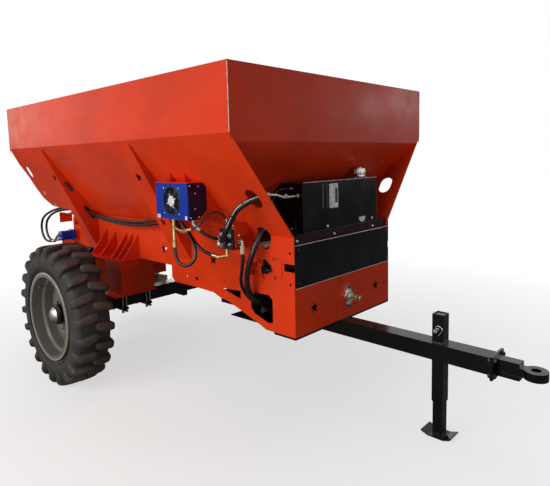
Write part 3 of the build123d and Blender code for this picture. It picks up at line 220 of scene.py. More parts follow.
def tyre_rubber():
    """Black rubber, with brown dust worn into the tops of the lugs, told by their distance from the axle."""
    material, tree, target, place = shader("tyre")
    low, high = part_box("tyre_right")
    outer = (high.z - low.z) / 2
    tone = ramp(tree, noise(tree, place, 9, 6), (0.3, (0.010, 0.0095, 0.0095)), (0.7, (0.024, 0.022, 0.021)))
    powder = ramp(tree, noise(tree, place, 30, 6), (0.3, (0.050, 0.032, 0.022)), (0.7, (0.105, 0.068, 0.047)))
    offset = node(tree, "VectorMath", {0: place, 1: (low + high) / 2}, operation="SUBTRACT").outputs["Vector"]
    flat = node(tree, "VectorMath", {0: offset, 1: (1, 0, 1)}, operation="MULTIPLY").outputs["Vector"]
    reach = node(tree, "VectorMath", {0: flat}, operation="LENGTH").outputs["Value"]
    tops = spread(tree, reach, 0.0, 0.8, outer - 0.022, outer - 0.005)
    worn = computed(tree, "MULTIPLY", tops, spread(tree, noise(tree, place, 14, 5), 0.35, 1, 0.3, 0.6))
    patches = spread(tree, noise(tree, place, 6, 8), 0, 0.35, 0.46, 0.75)
    colour = mixed(tree, computed(tree, "MAXIMUM", worn, patches), tone, powder)
    dressed(tree, target, colour, spread(tree, noise(tree, place, 25, 5), 0.55, 0.85))
    bumped(tree, target, noise(tree, place, 180, 4), 0.3, 0.0015)
    return material


BLACK_DUST = (0.035, 0.032, 0.03)
ORANGE = paint("orange_paint", (0.74, 0.046, 0.008), 0.27, 0.05, dusty=0.04)
BLACK = paint("black_paint", (0.004, 0.004, 0.0045), 0.2, 0.25, BLACK_DUST)
GLOSS_BLACK = paint("gloss_black", (0.003, 0.003, 0.0035), 0.14, 0.4, BLACK_DUST)
# dark wine for the orange shelf under the tank: painted reflection of the black tank above
WINE_REFLECTION = paint("wine_painted_reflection", (0.030, 0.003, 0.005), 0.2, 0.5, (0.06, 0.04, 0.04))
# dark navy: painted shade on the cooler's side and on the bracket web beside it
NAVY_SHADE = paint("navy_painted_shade", (0.014, 0.008, 0.030), 0.35, 0.2, (0.05, 0.04, 0.06))
BLUE = paint("blue_paint", (0.006, 0.036, 0.36), 0.3, 0.25, (0.1, 0.1, 0.16), rounding=0.002)
WHEEL = paint("wheel_paint", (0.15, 0.146, 0.128), 0.4, 0.15, (0.07, 0.052, 0.035), 0.55)
# pale edge colour: painted highlight along edges, with rubbed paint on the hopper's corners
EDGE_HIGHLIGHT_AND_WEAR = paint("rubbed_edge_and_painted_highlight", (0.62, 0.52, 0.50), 0.3, 0.5, dusty=0.3)
# lighter grey for the rim's rolled edge: painted highlight, with worn paint
RIM_HIGHLIGHT_AND_WEAR = paint("rim_edge", (0.36, 0.35, 0.32), 0.3, 0.4, (0.10, 0.07, 0.05), 0.5)
STEEL = metal("bright_steel", (0.66, 0.65, 0.62), 0.25)
DULL_STEEL = metal("dull_steel", (0.42, 0.41, 0.38), 0.32, 0.5)
WORN = metal("worn_steel", (0.30, 0.26, 0.20), 0.38, 0.7, (0.10, 0.075, 0.04))
OILED = metal("oiled_steel", (0.46, 0.38, 0.24), 0.32, 0.5, (0.16, 0.12, 0.06))
IRON = metal("dark_iron", (0.05, 0.05, 0.054), 0.4, 0.4, (0.03, 0.03, 0.03))
BRASS = metal("brass", (0.60, 0.44, 0.18), 0.32, 0.4, (0.20, 0.13, 0.05))
ZINC = paint("zinc_plate", (0.66, 0.60, 0.48), 0.3, 0.4, (0.25, 0.21, 0.15), 0.2)
TYRE = tyre_rubber()
HOSE = rubber("hose_rubber", (0.0045, 0.0045, 0.005), (0.03, 0.026, 0.023), 0.08, 0.30, 60)
DARK_PLASTIC = rubber("black_plastic", (0.010, 0.010, 0.011), (0.05, 0.045, 0.04), 0.2, 0.45, 40)
PLASTIC = rubber("grey_plastic", (0.60, 0.61, 0.62), (0.25, 0.23, 0.2), 0.3, 0.4, 25)
GLOSS_WHITE = rubber("white_plastic", (0.80, 0.80, 0.77), (0.5, 0.48, 0.44), 0.2, 0.3, 40)

# the record's slots: the material of the CAD nodes there, then others that added pieces use
SLOTS = {
    "orange_paint": (ORANGE,), "black_paint": (BLACK, NAVY_SHADE, DARK_PLASTIC), "blue_paint": (BLUE,),
    "wheel_paint": (WHEEL, RIM_HIGHLIGHT_AND_WEAR), "bright_steel": (STEEL, DULL_STEEL, ZINC), "worn_steel": (WORN, OILED),
    "dark_iron": (IRON,), "brass": (BRASS,), "tyre": (TYRE,), "hose_rubber": (HOSE,),
    "grey_plastic": (PLASTIC, GLOSS_WHITE),
}
SLOT_OF = {material: slot for slot, materials in SLOTS.items() for material in materials}


def dress(name, material):
    """Material for every slot of a CAD node."""
    for slot in NODES[name].material_slots:
        slot.material = material


for part in frame["record"]["subparts"]:
    dress(part["node"], SLOTS[part["material_slot"]][0])
# the tank's shelf gets dark wine, a painted reflection of the black tank above
for name, material in (
    ("tank_shelf", WINE_REFLECTION), ("fittings_steel", DULL_STEEL), ("cooler_fan", DARK_PLASTIC),
    ("hitch_bracket", GLOSS_BLACK), ("tow_eye", GLOSS_BLACK), ("hub_right", BLACK), ("hub_left", BLACK),
):
    dress(name, material)


# ---- floor and light ----
def make_stage():
    """Pale floor that keeps the shadow and turns white far out, to the camera only."""
    data = bpy.data.meshes.new("floor")
    half = 60
    corners = [(-half, -half, 0), (half, -half, 0), (half, half, 0), (-half, half, 0)]
    data.from_pydata(corners, [], [(0, 1, 2, 3)])
    material, tree, target, place = shader("floor")
    target.inputs["Roughness"].default_value = 0.9
    seen = node(tree, "LightPath").outputs["Is Camera Ray"]
    shown, bounced = (
        ramp(tree, noise(tree, place, 0.8, 3), (0.2, [grey] * 3), (0.8, [grey + 0.04] * 3))
        for grey in (0.86, 0.24)
    )
    tree.links.new(mixed(tree, seen, bounced, shown), target.inputs["Base Color"])
    far = node(tree, "VectorMath", {0: place}, operation="LENGTH").outputs["Value"]
    share = computed(tree, "MULTIPLY", spread(tree, far, 0.6, 1, 1.2, 4.5), seen)
    glow = node(tree, "Emission").outputs["Emission"]
    blended(tree, share, target.outputs["BSDF"], glow, "Material Output")
    data.materials.append(material)
    floor = placed("floor", data)


def make_world():
    """White to the camera and in metal and glass, and dim as a light."""
    world = bpy.data.worlds.new("studio")
    world.use_nodes = True
    bpy.context.scene.world = world
    tree = world.node_tree
    dim = tree.nodes["Background"]
    dim.inputs["Color"].default_value = (0.95, 0.97, 1, 1)
    dim.inputs["Strength"].default_value = 0.16
    white = node(tree, "Background", {"Color": (1, 1, 1, 1)})
    rays = node(tree, "LightPath").outputs
    seen = computed(tree, "MAXIMUM", rays["Is Camera Ray"], rays["Is Glossy Ray"])
    seen = computed(tree, "MAXIMUM", seen, rays["Is Transmission Ray"])
    blended(tree, seen, dim.outputs["Background"], white.outputs["Background"], "World Output")


def add_light(name, place, aim, size, power, colour=(1, 1, 1)):
    data = bpy.data.lights.new(name, "AREA")
    data.shape = "RECTANGLE"
    data.size, data.size_y = size
    data.energy, data.color = power, colour
    light = placed(name, data)
    light.location = place
    light.rotation_mode = "QUATERNION"
    light.rotation_quaternion = (Vector(aim) - Vector(place)).to_track_quat("-Z", "Y")


make_stage()
make_world()
add_light("key", (-0.7, -6.2, 3.0), (-0.2, -0.6, 1.0), (4.2, 2.2), 200, (1, 0.95, 0.87))
add_light("side_fill", (1.6, -5.0, 0.6), (0.7, -0.7, 0.9), (2.0, 0.7), 44, (1, 0.97, 0.93))
add_light("front_box", (3.4, 4.6, 2.5), (1.05, 0.6, 1.9), (1.3, 0.5), 6, (0.93, 0.96, 1))
add_light("top", (0.2, 0.4, 6.0), (0, 0, 1), (4, 4), 60)
add_light("left_box", (-6.9, -2.7, 2.5), (-1.2, -1.0, 1.9), (1.1, 1.0), 4, (1, 0.90, 0.70))
add_light("rear_fill", (-6.5, 3.5, 3.2), (-0.8, 0, 1.2), (4, 2.5), 150)
add_light("front_fill", (6.0, -0.5, 1.1), (1, 0, 0.9), (3, 1.6), 22, (0.97, 0.98, 1))
bpy.context.scene.view_settings.view_transform = "Standard"

# ---- cords: the diameter, length and stiffness, and (behind, y, height) down each route ----
CORDS = {
    "hose_suction": (0.036, 0.455, "stiff", (
        (0.398, -0.742, 1.168), (0.355, -0.757, 1.209), (0.292, -0.767, 1.290), (0.225, -0.769, 1.374),
        (0.150, -0.735, 1.428), (0.092, -0.672, 1.449),
    )),
    "hose_return": (0.036, 1.040, "stiff", (
        (0.238, -0.438, 1.264), (0.237, -0.498, 1.254), (0.236, -0.560, 1.216), (0.243, -0.602, 1.148),
        (0.268, -0.620, 1.072), (0.300, -0.620, 0.995), (0.326, -0.612, 0.918), (0.338, -0.596, 0.846),
        (0.336, -0.562, 0.784), (0.316, -0.500, 0.746), (0.300, -0.430, 0.732), (0.300, -0.356, 0.728),
        (0.312, -0.286, 0.726), (0.330, -0.214, 0.727), (0.350, -0.144, 0.728),
    )),
    "hose_pressure": (0.022, 0.792, "medium", (
        (0.302, -0.660, 1.092), (0.305, -0.658, 1.040), (0.332, -0.644, 0.978), (0.364, -0.628, 0.915),
        (0.378, -0.604, 0.852), (0.380, -0.566, 0.796), (0.366, -0.520, 0.744), (0.352, -0.470, 0.712),
        (0.344, -0.400, 0.692), (0.352, -0.330, 0.684), (0.370, -0.238, 0.680), (0.390, -0.145, 0.680),
    )),
    "hose_cooler": (0.020, 0.134, "stiff", (
        (0.552, -0.788, 1.232), (0.538, -0.772, 1.210), (0.520, -0.750, 1.191), (0.502, -0.722, 1.176),
        (0.492, -0.692, 1.167),
    )),
    "hose_bypass": (0.013, 0.281, "medium", (
        (0.556, -0.846, 1.243), (0.520, -0.838, 1.252), (0.492, -0.820, 1.285), (0.476, -0.790, 1.322),
        (0.462, -0.755, 1.345), (0.448, -0.718, 1.342), (0.438, -0.690, 1.322), (0.435, -0.672, 1.298),
    )),
    "hose_long_outer": (0.022, 3.393, "medium", (
        (3.028, -0.682, 0.906), (3.090, -0.690, 0.896), (3.167, -0.698, 0.907), (3.223, -0.701, 0.961),
        (3.237, -0.702, 1.038), (3.203, -0.702, 1.108), (3.140, -0.702, 1.150), (3.054, -0.701, 1.184),
        (2.940, -0.694, 1.218), (2.815, -0.670, 1.244), (2.700, -0.642, 1.254), (2.560, -0.622, 1.246),
        (2.420, -0.613, 1.234), (2.270, -0.618, 1.212), (2.100, -0.630, 1.197), (1.900, -0.640, 1.190),
        (1.690, -0.648, 1.190), (1.490, -0.650, 1.198), (1.320, -0.650, 1.220), (1.190, -0.647, 1.238),
        (1.085, -0.646, 1.244), (0.985, -0.653, 1.250), (0.905, -0.684, 1.258), (0.840, -0.717, 1.253),
        (0.780, -0.744, 1.236), (0.712, -0.762, 1.198), (0.648, -0.774, 1.156), (0.602, -0.786, 1.106),
        (0.588, -0.802, 1.043), (0.633, -0.820, 0.998), (0.695, -0.838, 0.998), (0.740, -0.846, 1.043),
        (0.741, -0.846, 1.112),
    )),
    "hose_long_inner": (0.022, 3.067, "medium", (
        (0.540, -0.700, 1.060), (0.592, -0.708, 1.068), (0.645, -0.714, 1.090), (0.695, -0.716, 1.124),
        (0.745, -0.711, 1.164), (0.805, -0.697, 1.198), (0.880, -0.667, 1.221), (0.975, -0.638, 1.226),
        (1.085, -0.631, 1.223), (1.200, -0.632, 1.210), (1.320, -0.634, 1.194), (1.490, -0.634, 1.174),
        (1.690, -0.632, 1.165), (1.900, -0.624, 1.165), (2.100, -0.614, 1.173), (2.270, -0.602, 1.190),
        (2.420, -0.596, 1.212), (2.560, -0.604, 1.224), (2.700, -0.620, 1.231), (2.815, -0.644, 1.224),
        (2.930, -0.662, 1.206), (3.040, -0.667, 1.174), (3.122, -0.668, 1.136), (3.181, -0.668, 1.092),
        (3.210, -0.667, 1.026), (3.196, -0.666, 0.960), (3.146, -0.662, 0.912), (3.078, -0.652, 0.902),
        (3.018, -0.640, 0.916),
    )),
    "hose_cable": (0.007, 0.451, "medium", (
        (0.112, -0.434, 1.478), (0.113, -0.500, 1.482), (0.113, -0.556, 1.462), (0.111, -0.582, 1.415),
        (0.109, -0.586, 1.360), (0.108, -0.570, 1.305), (0.108, -0.535, 1.258), (0.109, -0.485, 1.234),
        (0.110, -0.434, 1.230),
    )),
}


def hose_line(name, route, resolution):
    """Curve with one NURBS spline whose control points are the route's points."""
    data = bpy.data.curves.new(name, "CURVE")
    data.dimensions = "3D"
    spline = data.splines.new("NURBS")
    spline.points.add(len(route) - 1)
    for point, place in zip(spline.points, route):
        point.co = (*at(*place), 1)
    spline.order_u = 3
    spline.use_endpoint_u = True
    spline.resolution_u = resolution
    return data


def make_cord(name, diameter, route):
    data = hose_line(name, route, 8)
    data.bevel_depth = diameter / 2
    data.bevel_resolution = 6
    data.use_fill_caps = True
    data.materials.append(HOSE)
    piece = placed(name + "_look", data)
    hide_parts(name)
    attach(piece, "chassis")


# ---- mesh helpers ----
def around(count, start=0.0):
    """Angles evenly round a circle."""
    return [2 * pi * i / count + start for i in range(count)]


def ray(angle, second=Z, first=X):
    """Unit vector at an angle from one direction towards another."""
    return first * cos(angle) + second * sin(angle)


def spots(xs, ys, zs):
    """Points at every mix of the places along x, y and z."""
    return [Vector((x, y, z)) for x in xs for y in ys for z in zs]


def joined(bm, rings, closed=False):
    """Faces from each ring to the next: the last joins the first if closed, and else both ends are capped."""
    for one, other in zip(rings, rings[1:] + rings[:1] if closed else rings[1:]):
        for i in range(len(one)):
            j = (i + 1) % len(one)
            bm.faces.new((one[i], one[j], other[j], other[i]))
    if not closed:
        bm.faces.new(rings[0][::-1])
        bm.faces.new(rings[-1])


def sides_of(axis):
    """Two unit vectors square to an axis."""
    first = axis.cross(Z if abs(axis.z) < 0.9 else X).normalized()
    return first, axis.cross(first)


def turned(bm, start, axis, profile, segments=24, turn=0.0):
    """Closed turned solid: profile is (distance along the axis, radius) from one end to the other."""
    axis = axis.normalized()
    first, second = sides_of(axis)
    directions = [ray(angle, second, first) for angle in around(segments, turn)]
    joined(bm, [
        [bm.verts.new(start + axis * along + out * radius) for out in directions] for along, radius in profile
    ])


def turned_ring(bm, start, axis, profile, segments=48):
    """Turned ring whose profile is a closed loop of (distance along the axis, radius)."""
    first, second = sides_of(axis)
    directions = [ray(angle, second, first) for angle in around(segments)]
    joined(bm, [
        [bm.verts.new(start + axis * along + out * radius) for along, radius in profile] for out in directions
    ], closed=True)


def band(bm, place, axis, half, inner, outer):
    """Flat ring round an axis, to both sides of a place."""
    turned_ring(bm, place, axis, [(-half, inner), (half, inner), (half, outer), (-half, outer)])


def rod(bm, start, end, radius, segments=16):
    """Round bar with small chamfers."""
    length = (end - start).length
    chamfer = min(radius * 0.2, length * 0.2)
    turned(bm, start, end - start, [
        (0, radius - chamfer), (chamfer, radius), (length - chamfer, radius), (length, radius - chamfer),
    ], segments)


def hexagon(bm, start, axis, flat, height, turn=0.0):
    """Hexagon nut or head with chamfered corners."""
    corner = flat / sqrt(3)
    turned(bm, start, axis, [
        (0, corner * 0.94), (height * 0.12, corner), (height * 0.86, corner), (height, corner * 0.88),
    ], 6, turn)


def bolt(bm, place, axis, thread):
    """Bolt end on a face: washer, hexagon and the tip of its thread."""
    turned(bm, place - axis * 0.001, axis, [(0, thread * 1.05), (thread * 0.2 + 0.001, thread * 1.05)], 20)
    hexagon(bm, place + axis * thread * 0.2, axis, thread * 1.65, thread * 0.7, place.x * 40 + place.z * 30)
    rod(bm, place, place + axis * thread * 1.15, thread * 0.46, 12)


def block(bm, one, other):
    """Box between two opposite corners."""
    corners = [bm.verts.new(spot) for spot in spots(*map(sorted, zip(one, other)))]
    for face in ((0, 1, 3, 2), (4, 6, 7, 5), (0, 4, 5, 1), (2, 3, 7, 6), (0, 2, 6, 4), (1, 5, 7, 3)):
        bm.faces.new([corners[i] for i in face])


def slab(bm, points, thickness):
    """Flat plate: its outline, and the vector through its thickness."""
    joined(bm, [[bm.verts.new(point + shift) for point in points] for shift in (X * 0, thickness)])


def swept(bm, points, radius, segments=10, lumps=0.0, seed=1):
    """Round section along a line of points; lumps vary its radius, as on a weld."""
    chance = random.Random(seed)
    first = sides_of((points[1] - points[0]).normalized())[0]
    rings = []
    for i, point in enumerate(points):
        tangent = (points[min(i + 1, len(points) - 1)] - points[max(i - 1, 0)]).normalized()
        first = (first - tangent * first.dot(tangent)).normalized()
        second = tangent.cross(first)
        reach = radius * (1 + lumps * chance.uniform(-1, 1))
        rings.append([bm.verts.new(point + ray(angle, second, first) * reach) for angle in around(segments)])
    joined(bm, rings)


def finished(bm, name, material, bevel=0.0, sharp=35, body="chassis", slot=None, replaces=()):
    """The mesh as a piece of the object, riding on a body; its slot is worked out, its material's unless one
    is given, but not used.
    """
    slot = slot or SLOT_OF[material]
    bmesh.ops.recalc_face_normals(bm, faces=bm.faces)
    data = bpy.data.meshes.new(name)
    bm.to_mesh(data)
    bm.free()
    data.shade_smooth()
    data.set_sharp_from_angle(angle=radians(sharp))
    data.materials.append(material)
    piece = placed(name, data)
    if bevel:
        rounding = piece.modifiers.new("bevel", "BEVEL")
        rounding.width, rounding.segments = bevel, 2
        rounding.angle_limit = radians(40)
    if replaces:
        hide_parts(*replaces)
    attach(piece, body)
    return piece


def bolts(name, axis, thread, places, material=STEEL, body="chassis"):
    """A set of like bolts on one face, as one piece."""
    bm = bmesh.new()
    for place in places:
        bolt(bm, place, axis, thread)
    finished(bm, name, material, 0.0004, body=body)


def plates(name, material, corners, bevel=0.0008):
    """Small box-shaped plates between pairs of corners, as one piece."""
    bm = bmesh.new()
    for one, other in corners:
        block(bm, one, other)
    finished(bm, name, material, bevel)


def bead(name, material, runs, radius, lumps=0.0, step=0.012, slot=None):
    """Weld beads or edges along straight runs, with a point about every step."""
    bm = bmesh.new()
    for i, (start, end) in enumerate(runs):
        count = max(2, round((end - start).length / step))
        swept(bm, [start.lerp(end, k / count) for k in range(count + 1)], radius, 8, lumps, i)
    finished(bm, name, material, slot=slot)


# ---- tyres ----
LUGS = 22
# a lug's sections: (share of the half width, drop of its top and base, half width round the tyre, lean)
LUG_SECTIONS = (
    (-0.10, 0.004, 0.010, 0.013, 0.000), (-0.04, 0, 0.010, 0.023, 0.001), (0.12, 0, 0.010, 0.030, 0.005),
    (0.34, 0, 0.012, 0.0325, 0.012), (0.56, 0.001, 0.015, 0.032, 0.019), (0.76, 0.005, 0.030, 0.030, 0.026),
    (0.90, 0.012, 0.050, 0.027, 0.030), (0.975, 0.026, 0.070, 0.022, 0.032),
    (0.995, 0.048, 0.085, 0.017, 0.033), (0.975, 0.075, 0.098, 0.010, 0.033),
)


def make_tyre(side):
    """Tyre with chunky staggered lugs: a carcass, and bars from its middle down over each shoulder."""
    low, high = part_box("tyre_" + side)
    centre = (low + high) / 2
    outer = (high.z - low.z) / 2 - 0.001
    half = (high.y - low.y) / 2 - 0.002
    groove = outer - 0.038
    foot = 0.318
    bm = bmesh.new()
    # the carcass's outline, from its middle down to one foot: (share of the half width, radius)
    outline = [
        (0, groove + 0.002), (0.45, groove), (0.70, groove - 0.005), (0.84, groove - 0.020),
        (0.92, groove - 0.048), (0.955, groove - 0.085), (0.94, groove - 0.115), (0.87, groove - 0.140),
        (0.80, foot + 0.012), (0.78, foot), (0.70, foot - 0.012),
    ]
    mirrored = [(-share, radius) for share, radius in outline[:0:-1]]
    turned_ring(bm, centre, Y, [(share * half, radius) for share, radius in mirrored + outline], 132)
    inner_wall, outer_wall = 0.925 * half - 0.006, 0.94 * half + 0.001
    for rib_at in (groove - 0.104, groove - 0.118, groove - 0.132):
        for way in (-1, 1):
            turned_ring(bm, centre, Y, [
                (way * inner_wall, rib_at - 0.003), (way * outer_wall, rib_at - 0.001),
                (way * outer_wall, rib_at + 0.001), (way * inner_wall, rib_at + 0.003),
            ], 96)
    chance = random.Random(7)
    for way in (-1, 1):
        for i in range(LUGS):
            start = 2 * pi * (i + (0.5 if way > 0 else 0)) / LUGS
            wear = chance.uniform(0, 0.0025)
            rings = []
            for across, top_drop, base_drop, width, lean in LUG_SECTIONS:
                top, base = outer - top_drop, groove - base_drop
                flank = [(base, 1.22), (top - 0.012, 1.04), (top - 0.003, 0.86), (top, 0.55)]
                ring = []
                for radius, share in [(radius, -share) for radius, share in flank] + flank[::-1]:
                    angle = start + (lean + width * share) / outer
                    inset = 0.03 if radius == base and across > 0.6 else 0
                    reach = radius - (wear if radius > base else 0)
                    ring.append(bm.verts.new(centre + Vector((
                        reach * sin(angle), way * half * (across - inset), reach * cos(angle),
                    ))))
                rings.append(ring)
            joined(bm, rings)
    finished(bm, "tyre_look_" + side, TYRE, 0.0025, 40, "wheel_" + side, replaces=("tyre_" + side,))


for side in ("right", "left"):
    make_tyre(side)


# ---- wheels: the rim's rolled edge in a lighter grey for painted highlight and worn paint, valve, nuts and hub cap ----
def make_wheel_details(side, way):
    outward, body = Y * way, "wheel_" + side
    outer = 1 if way > 0 else 0              # which corner of a box is on the outer side
    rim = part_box("rim_" + side)
    centre = (rim[0] + rim[1]) / 2
    face = Vector((centre.x, rim[outer].y, centre.z))
    bm = bmesh.new()
    # the rolled edge and bead seat are lighter than the wheel paint: painted highlight with worn paint
    turned_ring(bm, face, outward, [
        (-0.012, 0.3300), (-0.001, 0.3305), (0.0014, 0.3275), (0.0016, 0.3215), (-0.003, 0.3165),
        (-0.0095, 0.3125), (-0.0105, 0.3055), (-0.0125, 0.3050), (-0.0135, 0.3245),
    ], 96)
    turned_ring(bm, face, outward, [
        (-0.030, 0.2975), (-0.0125, 0.2985), (-0.0105, 0.3015), (-0.0105, 0.3060), (-0.014, 0.3065),
        (-0.030, 0.3010),
    ], 96)
    finished(bm, "rim_edge_" + side, RIM_HIGHLIGHT_AND_WEAR, 0, 30, body)
    bm = bmesh.new()
    valve = face + Vector((-0.20, -way * 0.075, 0.185))
    rod(bm, valve, valve + outward * 0.040, 0.004)
    rod(bm, valve + outward * 0.034, valve + outward * 0.050, 0.006)
    hub, stud_circle = Vector((centre.x, way * DISC_FACE, centre.z)), 0.110
    for angle in around(8):
        stud = hub + ray(angle, X, Z) * stud_circle
        turned(bm, stud, outward, [(0, 0.0155), (0.003, 0.0150), (0.005, 0.0135)], 24)
        hexagon(bm, stud + outward * 0.003, outward, 0.024, 0.014, angle)
        turned(bm, stud + outward * 0.014, outward, [(0, 0.0078), (0.0035, 0.0078), (0.0045, 0.0065)], 16)
    finished(bm, "wheel_nuts_" + side, WORN, 0.0006, body=body)
    bm = bmesh.new()
    cap = Vector((centre.x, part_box("hub_" + side)[outer].y, centre.z))
    turned(bm, cap - outward * 0.075, outward, [
        (0, 0.0575), (0.050, 0.0575), (0.054, 0.0590), (0.062, 0.0590), (0.064, 0.0560), (0.068, 0.0520),
        (0.078, 0.0440), (0.085, 0.0320), (0.0885, 0.0180), (0.0892, 0.0070),
    ], 40)
    finished(bm, "hub_cap_" + side, DULL_STEEL, 0.0008, body=body)


for side, way in SIDES:
    make_wheel_details(side, way)


# ---- oil cooler: fins, fan guard, fan hub, cheek and bracket web in painted shade, corner tabs and frame ----
def make_cooler_details():
    low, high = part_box("oil_cooler")
    face = low.y
    fan = at(0.677, face, 1.416)
    bm = bmesh.new()
    reach, pitch, half = 0.083, 0.006, 0.0006
    for i in range(-13, 14):
        across = i * pitch
        tall = sqrt(reach ** 2 - across ** 2)
        block(bm, fan + Vector((across - half, 0.0375, -tall)), fan + Vector((across + half, 0.0395, tall)))
    finished(bm, "cooler_fins", IRON)
    bm = bmesh.new()
    turned_ring(bm, fan, -Y, [
        (-0.004, 0.0855), (0.0015, 0.0855), (0.003, 0.0870), (0.003, 0.0925), (0.0015, 0.0945),
        (-0.0005, 0.0945),
    ], 64)
    wire = 0.0011
    for radius in (0.036, 0.050, 0.064, 0.077):
        turned_ring(bm, fan - Y * 0.001, -Y, [(wire * cos(a), radius + wire * sin(a)) for a in around(8)])
    for angle in around(4, pi / 4):
        rod(bm, fan + ray(angle) * 0.020 - Y * 0.0022, fan + ray(angle) * 0.089 - Y * 0.0022, 0.0014, 8)
    finished(bm, "fan_guard", DARK_PLASTIC, slot="dark_iron")
    bm = bmesh.new()
    turned(bm, fan + Y * 0.001, -Y, [
        (0, 0.0325), (0.003, 0.0325), (0.0045, 0.0315), (0.0045, 0.026), (0.0038, 0.0255), (0.0038, 0.004),
    ], 40)
    for angle in (0.35, 2.0, 3.5, 5.2):
        edge = ray(angle + pi / 2) * 0.0035
        near, far = fan + ray(angle) * 0.030 - Y * 0.001, fan + ray(angle) * 0.050 - Y * 0.001
        slab(bm, [near - edge, far - edge * 0.6, far + edge * 0.6, near + edge], -Y * 0.002)
    finished(bm, "fan_hub", GLOSS_WHITE, 0.0003)
    cheek = high.x + 0.0016
    # dark navy plate over the cooler's side: painted shade, a darker copy of its blue
    plates("cooler_cheek_shade", NAVY_SHADE, [
        ((high.x, face + 0.003, low.z + 0.003), (cheek, high.y - 0.002, high.z - 0.003)),
    ])
    # dark navy sheet over the orange bracket web beside the cooler: painted shade
    bm = bmesh.new()
    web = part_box("cooler_bracket")[1].x
    outline = ((-0.826, 1.309), (-0.761, 1.357), (-0.763, 1.499), (-0.788, 1.527), (-0.826, 1.527))
    slab(bm, [Vector((web, y, z)) for y, z in outline], X * 0.0012)
    finished(bm, "cooler_web_shade", NAVY_SHADE, 0.0004)
    bolts("cheek_screws", X, 0.005, [Vector((cheek, y, z)) for y, z in (
        (-0.846, 1.464), (-0.851, 1.371), (-0.822, 1.505), (-0.884, 1.318), (-0.822, 1.318), (-0.884, 1.512),
    )])
    plates("cooler_tabs", GLOSS_WHITE, [
        (at(0.833, face - 0.002, 1.305), at(0.800, face + 0.0005, 1.328)),
        (at(0.540, face - 0.002, 1.306), at(0.520, face + 0.0005, 1.330)),
    ])
    # the frame's strips: (from x, to x, from z, to z)
    strips = (
        (low.x + 0.004, high.x - 0.004, high.z - 0.012, high.z - 0.004),
        (low.x + 0.004, high.x - 0.004, low.z + 0.003, low.z + 0.007),
        (low.x + 0.003, low.x + 0.010, low.z + 0.003, high.z - 0.004),
        (high.x - 0.010, high.x - 0.003, low.z + 0.003, high.z - 0.004),
    )
    plates("cooler_frame", BLUE, [
        ((start, face - 0.0012, foot), (end, face + 0.0005, top)) for start, end, foot, top in strips
    ], 0.0005)
    corner = 0.078
    bolts("shroud_screws", -Y, 0.005, [
        Vector((fan.x + dx, face, fan.z + dz)) for dx in (-corner, corner) for dz in (-corner, corner)
    ])


make_cooler_details()


# ---- control valve: plugs, spool caps, socket screws and relief valve ----
def make_valve_details():
    outer = -0.700                           # the valve's outer face
    bm = bmesh.new()
    for behind, height, size in ((0.372, 1.196, 0.024), (0.372, 1.146, 0.019), (0.440, 1.204, 0.022)):
        place = at(behind, outer, height)
        turned(bm, place + Y * 0.001, -Y, [(0, size * 0.62), (0.004, size * 0.62), (0.005, size * 0.55)])
        hexagon(bm, place - Y * 0.004, -Y, size, 0.010, behind * 9)
    for way, behind, across in ((1, 0.345, -0.650), (-1, 0.465, -0.648)):
        for height in (1.150, 1.198):
            turned(bm, at(behind + way * 0.001, across, height), X * way, [
                (0, 0.0135), (0.004, 0.0135), (0.0045, 0.0115), (0.012, 0.0115), (0.013, 0.010),
            ], 28)
    finished(bm, "valve_plugs", STEEL, 0.0005)
    bm = bmesh.new()
    for behind in (0.353, 0.457):
        for height in (1.120, 1.228):
            turned(bm, at(behind, outer + 0.001, height), -Y, [
                (0, 0.0065), (0.006, 0.0065), (0.007, 0.0055), (0.007, 0.003), (0.003, 0.003),
            ], 20)
    finished(bm, "valve_screws", IRON)
    bm = bmesh.new()
    hexagon(bm, at(0.372, -0.668, 1.2355), Z, 0.020, 0.011, 0.2)
    turned(bm, at(0.372, -0.668, 1.245), Z, [(0, 0.007), (0.014, 0.007), (0.016, 0.005)], 20)
    hexagon(bm, at(0.398, outer, 1.226), -Y, 0.014, 0.008, 0.4)
    finished(bm, "valve_relief", BRASS, 0.0004)


make_valve_details()


# ---- hose ends: crimped ferrules and union nuts over the CAD fittings ----
# (hose, end of its route, ferrule length and radius, the pipe's radius) for each finish
FERRULES = (
    ("steel", STEEL, (
        ("hose_suction", 0, 0.030, 0.021, 0.019), ("hose_suction", -1, 0.034, 0.021, 0.008),
        ("hose_cooler", 0, 0.030, 0.015, 0.012), ("hose_cooler", -1, 0.016, 0.015, 0.012),
        ("hose_bypass", -1, 0.016, 0.009, 0.008), ("hose_long_outer", 0, 0.034, 0.014, 0.011),
        ("hose_long_inner", -1, 0.034, 0.014, 0.011),
    )),
    ("brass", BRASS, (
        ("hose_bypass", 0, 0.080, 0.009, 0.011), ("hose_long_outer", -1, 0.052, 0.013, 0.011),
        ("hose_long_inner", 0, 0.056, 0.013, 0.011),
    )),
    ("zinc", ZINC, (("hose_pressure", 0, 0.050, 0.013, 0.011),)),
)


